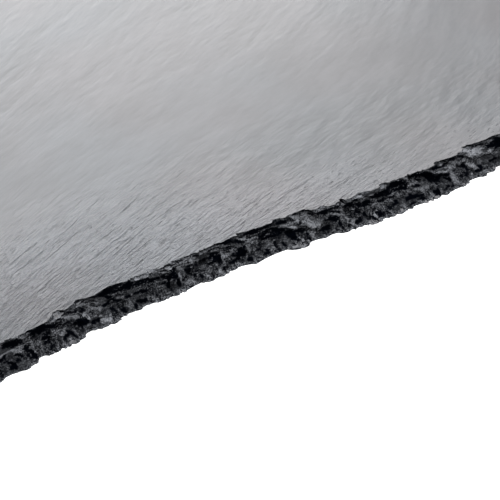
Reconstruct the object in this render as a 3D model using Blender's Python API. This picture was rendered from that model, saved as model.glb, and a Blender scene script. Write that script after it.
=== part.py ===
"""A hand-chipped slate slab, split along its cleavage and lying on its flat back.

The upper face keeps the faint swell of a split surface. The edge was chipped from above all round:
it drops steeply from the rim, runs out towards the foot, and carries ribs between the chips and thin
ledges where slivers of the face broke away along the cleavage.
"""

import math
import random
from collections import namedtuple

import bmesh
import bpy
import numpy as np
from mathutils import Matrix

NAME = "slate_slab"
MM = 0.001

# Size of the slab, in metres
LENGTH = 0.300  # along X, over the foot of the edge where it is widest
WIDTH = 0.198  # along Y, the same, apart from one place at the front that stands out more
THICKNESS = 0.0055
FLARE = 0.0034  # how far the foot of the edge stands out past the rim of the face
STRAY = 0.0022  # room left for the places where the edge stands out furthest
CORNER = 0.003  # radius of the rim at the four corners
BORDER = 0.006  # from the middle of the face out to the rim
SWELL = 0.00018  # height of the face's slow waves
UNEVEN = 0.0007  # how far the rim wanders in and out

# How finely the solid is divided
CELLS = (28, 18)  # the middle of the face, along X and Y
COLUMNS_A_CELL = 5
LEVELS = (1.0, 0.86, 0.68, 0.50, 0.32, 0.15, 0.0)  # heights down the edge, as shares of the thickness

HALF_X = LENGTH / 2 - FLARE - STRAY  # the rim's straight lines
HALF_Y = WIDTH / 2 - FLARE - STRAY
MIDDLE_X = HALF_X - BORDER
MIDDLE_Y = HALF_Y - BORDER
CORNER_ARC = CORNER * math.pi / 2
EDGE_LENGTH = 4 * (HALF_X + HALF_Y - 2 * CORNER) + 4 * CORNER_ARC

SEED = 11
FAR_OUT = 3 * FLARE  # further out than any chip reaches
LEAST_ROOM = 0.03  # stops a scoop short of running out level with its own far side
ALIKE = 1e-6  # places closer than this are the same

# Chance sizes, each the lowest and the highest value
CHANCE_WIDTHS = (4.5 * MM, 14.0 * MM)  # of a chip
CHANCE_RIMS = (-0.4 * MM, 0.5 * MM)  # how far a chip's rim strays from the wandering line
CHANCE_FLARES = (0.72, 1.08)  # shares of FLARE
CHANCE_GAPS = (6 * MM, 22 * MM)  # from one sliver to the next
CHANCE_HALVES = (2.2 * MM, 6.5 * MM)  # half a sliver's length
CHANCE_BITES = (0.12, 0.30)  # a sliver's bite, as a share of half its length
CHANCE_STEPS = (0.3 * MM, 1.4 * MM)
CHANCE_FALLS = (0.25, 0.6)
SLIVER_STRETCH = (72 * MM, -80 * MM)  # from and to where chance slivers lie, going round from the front
SCOOP_TOPS = (0.1 * MM, 0.7 * MM)  # how far over the face a chip's ball has its middle
SCOOP_SHARES = (0.80, 0.92)  # how much of that ball's height the edge takes up
RIB_SHARE = 0.03  # how far a rib stands out, as a share of its chip's width
RIB_LEAST = 0.03 * MM
LEAST_CHIP = 4 * MM

# Waves of the rim: how many there are all round, where they start and their share of UNEVEN
RIM_WAVES = ((4, 0.9, 1.0), (9, 2.1, 0.7), (17, 0.0, 0.4))

# The streaks of the face: how much they climb for each metre along X, and how much they bend
CLIMB = 0.36
BEND = 1.1
WAVE_X, WAVE_Y, WAVE_SLANT = 0.19, 0.16, 0.085  # lengths of the face's slow waves
START_X, START_Y = 0.15, 0.1  # where they start, in waves
SLANT_SHARE = 0.6

# Chips of the front edge from left to right, in millimetres: middle, width between its ribs, and how
# far the rim and the foot stand out there from the rim's straight line
Chip = namedtuple("Chip", "middle width rim foot")
FRONT_CHIPS = (
    Chip(-90.0, 11.0, 1.4, 4.8),
    Chip(-79.8, 9.4, 2.4, 5.8),
    Chip(-70.4, 9.4, 3.4, 6.6),
    Chip(-59.3, 13.0, 4.2, 6.7),
    Chip(-47.6, 10.4, 2.3, 4.7),
    Chip(-38.4, 8.0, 0.6, 3.7),
    Chip(-31.8, 5.6, -0.4, 3.3),
    Chip(-23.6, 11.4, -0.2, 2.6),
    Chip(-14.0, 9.2, -0.4, 2.9),
    Chip(-6.4, 6.0, -0.4, 2.8),
    Chip(3.1, 13.0, -0.9, 3.3),
    Chip(11.9, 4.2, 0.8, 4.0),
    Chip(17.5, 7.4, 1.2, 4.3),
    Chip(23.4, 4.4, 1.2, 5.2),
    Chip(28.8, 6.6, 1.1, 5.6),
    Chip(35.8, 8.0, 1.0, 5.4),
    Chip(45.8, 12.4, 1.3, 5.6),
    Chip(54.2, 5.0, 0.8, 5.0),
    Chip(62.6, 12.0, 0.0, 4.2),
)

# Slivers split off the front rim, in millimetres: middle, half length, how far the rim is cut back,
# how deep the step is, and the fall of the ledge for each millimetre outwards
Sliver = namedtuple("Sliver", "middle half bite step fall")
FRONT_SLIVERS = (
    Sliver(-59.0, 7.0, 0.9, 1.70, 0.45),
    Sliver(-46.6, 2.6, 0.9, 0.40, 0.30),
    Sliver(-41.0, 3.2, 1.0, 0.55, 0.30),
    Sliver(-26.6, 3.2, 0.7, 0.10, 0.60),
    Sliver(-18.0, 5.6, 1.0, 0.12, 0.55),
    Sliver(-9.8, 3.0, 0.9, 0.90, 0.35),
    Sliver(-4.6, 4.4, 1.0, 0.95, 0.45),
    Sliver(9.4, 3.4, 0.6, 1.60, 0.30),
    Sliver(15.5, 1.8, 0.8, 0.05, 0.60),
    Sliver(20.2, 2.2, 1.0, 1.00, 0.60),
    Sliver(25.4, 3.4, 0.9, 0.10, 0.70),
    Sliver(31.8, 2.0, 0.7, 0.30, 0.90),
    Sliver(39.6, 3.0, 0.4, 1.80, 0.40),
    Sliver(47.5, 4.6, 0.7, 1.30, 0.50),
    Sliver(57.5, 4.6, 1.2, 0.60, 0.70),
)


def wrapped(distance):
    """A distance along the edge, taken the short way round."""
    return (distance + EDGE_LENGTH / 2) % EDGE_LENGTH - EDGE_LENGTH / 2


def wander(along):
    """How far the rim stands out from its straight line, away from the front's own chips."""
    turn = 2 * math.pi * along / EDGE_LENGTH
    return UNEVEN * sum(share * math.sin(count * turn + start) for count, start, share in RIM_WAVES)


def all_chips():
    """The front's chips, then chance ones the rest of the way round."""
    chips = [Chip(*(size * MM for size in chip)) for chip in FRONT_CHIPS]
    draw = random.Random(SEED)
    place = chips[-1].middle + chips[-1].width / 2
    end = EDGE_LENGTH + chips[0].middle - chips[0].width / 2
    while end - place > LEAST_CHIP:
        width = min(draw.uniform(*CHANCE_WIDTHS), end - place)
        middle = place + width / 2
        rim = wander(middle) + draw.uniform(*CHANCE_RIMS)
        chips.append(Chip(middle, width, rim, rim + FLARE * draw.uniform(*CHANCE_FLARES)))
        place += width
    return chips


def all_slivers():
    """The front's slivers, then chance ones the rest of the way round."""
    slivers = [
        Sliver(sliver.middle * MM, sliver.half * MM, sliver.bite * MM, sliver.step * MM, sliver.fall)
        for sliver in FRONT_SLIVERS
    ]
    draw = random.Random(SEED + 1)
    place = SLIVER_STRETCH[0]
    while place < EDGE_LENGTH + SLIVER_STRETCH[1]:
        place += draw.uniform(*CHANCE_GAPS)
        half = draw.uniform(*CHANCE_HALVES)
        bite = draw.uniform(*CHANCE_BITES) * half
        slivers.append(Sliver(place, half, bite, draw.uniform(*CHANCE_STEPS), draw.uniform(*CHANCE_FALLS)))
    return slivers


def chip_reach(chips, along, height):
    """How far out the edge stands once every chip is struck, for places along it and heights on it."""
    draw = random.Random(SEED + 2)
    reach = np.full(np.broadcast(along, height).shape, FAR_OUT)
    for chip in chips:
        top = THICKNESS + draw.uniform(*SCOOP_TOPS)
        tall = top / draw.uniform(*SCOOP_SHARES)
        deep = (chip.foot - chip.rim) / (1 - math.sqrt(1 - (top / tall) ** 2))
        rib = (RIB_SHARE * chip.width + RIB_LEAST) / deep
        half = chip.width / 2 / math.sqrt(1 - (1 - rib) ** 2)
        across = np.abs(wrapped(along - chip.middle)) / half
        room = np.maximum(1 - across**2 - ((height - top) / tall) ** 2, LEAST_ROOM)
        scoop = chip.rim + deep * (1 - np.sqrt(room))
        reach = np.where(across < 1, np.minimum(reach, scoop), reach)
    return reach


def edge_reach(along, height):
    """The same with the slivers split off the rim as well."""
    chips = all_chips()
    reach = chip_reach(chips, along, height)
    for sliver in all_slivers():
        rim = float(chip_reach(chips, np.array(sliver.middle), np.array(THICKNESS)))
        lens = 1 - (wrapped(along - sliver.middle) / sliver.half) ** 2
        below = np.maximum(THICKNESS - sliver.step - height, 0)
        ledge = rim - sliver.bite * lens + below / sliver.fall
        reach = np.where(lens > 0, np.minimum(reach, ledge), reach)
    return reach


def face_swell(x, y):
    """The slow waves of the split face, as a height."""
    turn = 2 * math.pi
    slant = y - CLIMB * x + BEND * x * x
    square = math.sin(turn * (x / WAVE_X + START_X)) * math.cos(turn * (y / WAVE_Y + START_Y))
    return SWELL * (square + SLANT_SHARE * math.sin(turn * slant / WAVE_SLANT))


def rim_point(along):
    """The point of the rim's plain outline at a distance along it from the middle of the front, and the
    direction that points out of the slab there."""
    sides = (
        ((0, -HALF_Y), (1, 0), HALF_X),
        ((HALF_X, 0), (0, 1), HALF_Y),
        ((0, HALF_Y), (-1, 0), HALF_X),
        ((-HALF_X, 0), (0, -1), HALF_Y),
    )
    along = (along + HALF_X - CORNER) % EDGE_LENGTH - (HALF_X - CORNER)
    for (x, y), (run_x, run_y), half in sides:
        straight = half - CORNER
        if along <= straight:
            return (x + run_x * along, y + run_y * along), (run_y, -run_x)
        turn = (along - straight) / CORNER
        if turn <= math.pi / 2:
            out_x = run_y * math.cos(turn) + run_x * math.sin(turn)
            out_y = -run_x * math.cos(turn) + run_y * math.sin(turn)
            centre_x = x + run_x * straight - run_y * CORNER
            centre_y = y + run_y * straight + run_x * CORNER
            mitre = (math.cos(turn) ** 4 + math.sin(turn) ** 4) ** -0.25
            return (centre_x + CORNER * out_x, centre_y + CORNER * out_y), (mitre * out_x, mitre * out_y)
        along -= straight + CORNER_ARC + (HALF_X + HALF_Y - half - CORNER)
    raise ValueError("the distance runs past the whole edge")


def place_along(x, y):
    """The distance along the rim that belongs to a point of the middle's outline. Each half side and its
    half corner share out evenly, so the columns stand square to the edge at the middle of a side."""
    half_front = HALF_X - CORNER + CORNER_ARC / 2
    half_side = HALF_Y - CORNER + CORNER_ARC / 2
    if abs(abs(y) - MIDDLE_Y) < ALIKE:
        share = x / MIDDLE_X * half_front
        return share if y < 0 else 2 * half_side + 2 * half_front - share
    share = y / MIDDLE_Y * half_side
    return half_front + half_side + share if x > 0 else 3 * half_front + 3 * half_side - share


def build_slab():
    """The face's middle as a grid, its outline drawn out to the rim and down the edge ring by ring, and
    the back closed flat."""
    bm = bmesh.new()
    bmesh.ops.create_grid(
        bm,
        x_segments=CELLS[0],
        y_segments=CELLS[1],
        size=1,
        matrix=Matrix.Diagonal((MIDDLE_X, MIDDLE_Y, 1, 1)),
    )
    border = [edge for edge in bm.edges if edge.is_boundary]
    bmesh.ops.subdivide_edges(bm, edges=border, cuts=COLUMNS_A_CELL - 1)
    ring = [edge for edge in bm.edges if edge.is_boundary]
    column = bm.verts.layers.float.new("column")
    for vert in bm.verts:
        if vert.is_boundary:
            vert[column] = place_along(vert.co.x, vert.co.y)
        vert.co.z = THICKNESS + face_swell(vert.co.x, vert.co.y)
    for level in LEVELS:
        drawn = bmesh.ops.extrude_edge_only(bm, edges=ring)["geom"]
        verts = [item for item in drawn if isinstance(item, bmesh.types.BMVert)]
        ring = [edge for edge in drawn if isinstance(edge, bmesh.types.BMEdge) and edge.is_boundary]
        along = np.array([vert[column] for vert in verts])
        reach = edge_reach(along, np.full(along.shape, level * THICKNESS))
        for vert, out in zip(verts, reach):
            (x, y), (out_x, out_y) = rim_point(vert[column])
            vert.co.x = x + out_x * out
            vert.co.y = y + out_y * out
            vert.co.z = level * (THICKNESS + face_swell(vert.co.x, vert.co.y))
    bmesh.ops.edgeloop_fill(bm, edges=ring)
    bmesh.ops.triangulate(bm, faces=bm.faces)
    bmesh.ops.recalc_face_normals(bm, faces=bm.faces)
    return bm


def slate():
    """Blue-grey slate, dull on the split face."""
    material = bpy.data.materials.new("slate")
    material.use_nodes = True
    shader = material.node_tree.nodes["Principled BSDF"]
    shader.inputs["Base Color"].default_value = (0.115, 0.120, 0.130, 1)
    shader.inputs["Roughness"].default_value = 0.5
    shader.inputs["Metallic"].default_value = 0.0
    return material


def main():
    for obj in list(bpy.data.objects):
        bpy.data.objects.remove(obj, do_unlink=True)
    collection = bpy.data.collections.new(NAME)
    bpy.context.scene.collection.children.link(collection)
    mesh = bpy.data.meshes.new(NAME)
    bm = build_slab()
    bm.to_mesh(mesh)
    bm.free()
    mesh.materials.append(slate())
    collection.objects.link(bpy.data.objects.new(NAME, mesh))


main()
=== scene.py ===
"""A hand-chipped slate slab: its split face and its chipped edge, on a pale floor in soft light."""

import math
import random
from collections import namedtuple

import bmesh
import bpy
import numpy as np
from bpy.props import FloatProperty, FloatVectorProperty, IntProperty, PointerProperty
from mathutils import Matrix, Vector, noise


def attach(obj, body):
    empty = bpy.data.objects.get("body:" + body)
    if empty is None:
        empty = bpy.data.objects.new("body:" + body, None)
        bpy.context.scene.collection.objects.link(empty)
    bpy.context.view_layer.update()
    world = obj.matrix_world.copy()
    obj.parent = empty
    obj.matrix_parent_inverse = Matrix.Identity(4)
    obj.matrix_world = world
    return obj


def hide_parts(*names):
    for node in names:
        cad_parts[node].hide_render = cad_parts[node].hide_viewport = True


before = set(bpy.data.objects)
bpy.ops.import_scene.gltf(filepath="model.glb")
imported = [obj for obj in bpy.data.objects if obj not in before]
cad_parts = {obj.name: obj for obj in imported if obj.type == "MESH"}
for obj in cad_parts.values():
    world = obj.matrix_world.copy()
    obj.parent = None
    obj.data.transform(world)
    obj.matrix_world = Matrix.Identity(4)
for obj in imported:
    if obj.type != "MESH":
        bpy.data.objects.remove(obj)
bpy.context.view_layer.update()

bl_info = {
    "name": "Slate slab",
    "version": (1, 0, 0),
    "blender": (4, 5, 0),
    "location": "3D View > Sidebar > Slate",
    "description": "Builds a hand-chipped slab of riven slate and the light it is shown in",
    "category": "Add Mesh",
}

NODE = "slate_slab"
MM = 0.001

# Size of the slab, in metres, as its solid has it
LENGTH = 0.300  # along X, over the foot of the edge where it is widest
WIDTH = 0.198  # along Y, the same, apart from one place at the front that stands out more
THICKNESS = 0.0055
FLARE = 0.0034  # how far the foot of the edge stands out past the rim of the face
STRAY = 0.0022  # room left for the places where the edge stands out furthest
CORNER = 0.003  # radius of the rim at the four corners
BORDER = 0.006  # from the middle of the face out to the rim
SWELL = 0.00018  # height of the face's slow waves
UNEVEN = 0.0007  # how far the rim wanders in and out

HALF_X = LENGTH / 2 - FLARE - STRAY  # the rim's straight lines
HALF_Y = WIDTH / 2 - FLARE - STRAY
MIDDLE_X = HALF_X - BORDER
MIDDLE_Y = HALF_Y - BORDER
CORNER_ARC = CORNER * math.pi / 2
EDGE_LENGTH = 4 * (HALF_X + HALF_Y - 2 * CORNER) + 4 * CORNER_ARC

SEED = 11  # of the solid's own chips
FAR_OUT = 3 * FLARE  # further out than any chip reaches
LEAST_ROOM = 0.03  # stops a scoop short of running out level with its own far side
ALIKE = 1e-6  # places closer than this are the same

# Chance sizes of the solid's chips and slivers, each the lowest and the highest value
CHANCE_WIDTHS = (4.5 * MM, 14.0 * MM)  # of a chip
CHANCE_RIMS = (-0.4 * MM, 0.5 * MM)  # how far a chip's rim strays from the wandering line
CHANCE_FLARES = (0.72, 1.08)  # shares of FLARE
CHANCE_GAPS = (6 * MM, 22 * MM)  # from one sliver to the next
CHANCE_HALVES = (2.2 * MM, 6.5 * MM)  # half a sliver's length
CHANCE_BITES = (0.12, 0.30)  # a sliver's bite, as a share of half its length
CHANCE_STEPS = (0.3 * MM, 1.4 * MM)
CHANCE_FALLS = (0.25, 0.6)
SLIVER_STRETCH = (72 * MM, -80 * MM)  # from and to where chance slivers lie, going round from the front
SCOOP_TOPS = (0.1 * MM, 0.7 * MM)  # how far over the face a chip's ball has its middle
SCOOP_SHARES = (0.80, 0.92)  # how much of that ball's height the edge takes up
RIB_SHARE = 0.03  # how far a rib stands out, as a share of its chip's width
RIB_LEAST = 0.03 * MM
LEAST_CHIP = 4 * MM

# A sliver bites deeper and has a higher step at its right end: the share it has at its left end of each,
# and how much is added from there to the right end
OPENING_BITE = (0.55, 0.75)
OPENING_STEP = (0.2, 1.0)

# Waves of the rim: how many there are all round, where they start and their share of UNEVEN
RIM_WAVES = ((4, 0.9, 1.0), (9, 2.1, 0.7), (17, 0.0, 0.4))

# The slow waves of the face: how much they climb for each metre along X, and how much they bend
CLIMB = 0.36
BEND = 1.1
WAVE_X, WAVE_Y, WAVE_SLANT = 0.19, 0.16, 0.085  # their lengths
START_X, START_Y = 0.15, 0.1  # where they start, in waves
SLANT_SHARE = 0.6

# The lower waves of the face run with its streaks: their length along the streaks and across them, their
# height, and the level that the noise is read at
FaceWave = namedtuple("FaceWave", "length width height level")
FACE_WAVES = (FaceWave(40 * MM, 9 * MM, 0.05 * MM, 0.3), FaceWave(18 * MM, 5 * MM, 0.02 * MM, 7.1))

# The relief round the outline of the back, which is lower still
BACK_HEIGHT, BACK_LENGTH, BACK_LEVEL = 0.10 * MM, 12 * MM, 3.7

# The streaks of the face run along lines whose slope is the first number at this place on the front,
# changes by the second for each metre towards the back, and by the third for the square of the distance
# along X. STREAK_RISE is the slope that distances along them are measured with.
STREAK_X, STREAK_Y = 0.034, -0.088
STREAK_SLOPES = (0.27, 3.5, 44.0)
STREAK_RISE = 0.3

# Chips of the front edge from left to right, in millimetres: middle, width between its ribs, and how
# far the rim and the foot stand out there from the rim's straight line
Chip = namedtuple("Chip", "middle width rim foot")
FRONT_CHIPS = (
    Chip(-90.0, 11.0, 1.4, 4.8),
    Chip(-79.8, 9.4, 2.4, 5.8),
    Chip(-70.4, 9.4, 3.4, 6.6),
    Chip(-59.3, 13.0, 4.2, 6.7),
    Chip(-47.6, 10.4, 2.3, 4.7),
    Chip(-38.4, 8.0, 0.6, 3.7),
    Chip(-31.8, 5.6, -0.4, 3.3),
    Chip(-23.6, 11.4, -0.2, 2.6),
    Chip(-14.0, 9.2, -0.4, 2.9),
    Chip(-6.4, 6.0, -0.4, 2.8),
    Chip(3.1, 13.0, -0.9, 3.3),
    Chip(11.9, 4.2, 0.8, 4.0),
    Chip(17.5, 7.4, 1.2, 4.3),
    Chip(23.4, 4.4, 1.2, 5.2),
    Chip(28.8, 6.6, 1.1, 5.6),
    Chip(35.8, 8.0, 1.0, 5.4),
    Chip(45.8, 12.4, 1.3, 5.6),
    Chip(54.2, 5.0, 0.8, 5.0),
    Chip(62.6, 12.0, 0.0, 4.2),
)

# Slivers split off the front rim, in millimetres: middle, half length, how far the rim is cut back,
# how deep the step is, and the fall of the ledge for each millimetre outwards
Sliver = namedtuple("Sliver", "middle half bite step fall")
FRONT_SLIVERS = (
    Sliver(-59.0, 7.0, 0.9, 1.70, 0.45),
    Sliver(-46.6, 2.6, 0.9, 0.40, 0.30),
    Sliver(-41.0, 3.2, 1.0, 0.55, 0.30),
    Sliver(-26.6, 3.2, 0.7, 0.10, 0.60),
    Sliver(-18.0, 5.6, 1.0, 0.12, 0.55),
    Sliver(-9.8, 3.0, 0.9, 0.90, 0.35),
    Sliver(-4.6, 4.4, 1.0, 0.95, 0.45),
    Sliver(9.4, 3.4, 0.6, 1.60, 0.30),
    Sliver(15.5, 1.8, 0.8, 0.05, 0.60),
    Sliver(20.2, 2.2, 1.0, 1.00, 0.60),
    Sliver(25.4, 3.4, 0.9, 0.10, 0.70),
    Sliver(31.8, 2.0, 0.7, 0.30, 0.90),
    Sliver(39.6, 3.0, 0.4, 1.80, 0.40),
    Sliver(47.5, 4.6, 0.7, 1.30, 0.50),
    Sliver(57.5, 4.6, 1.2, 0.60, 0.70),
)

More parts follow.
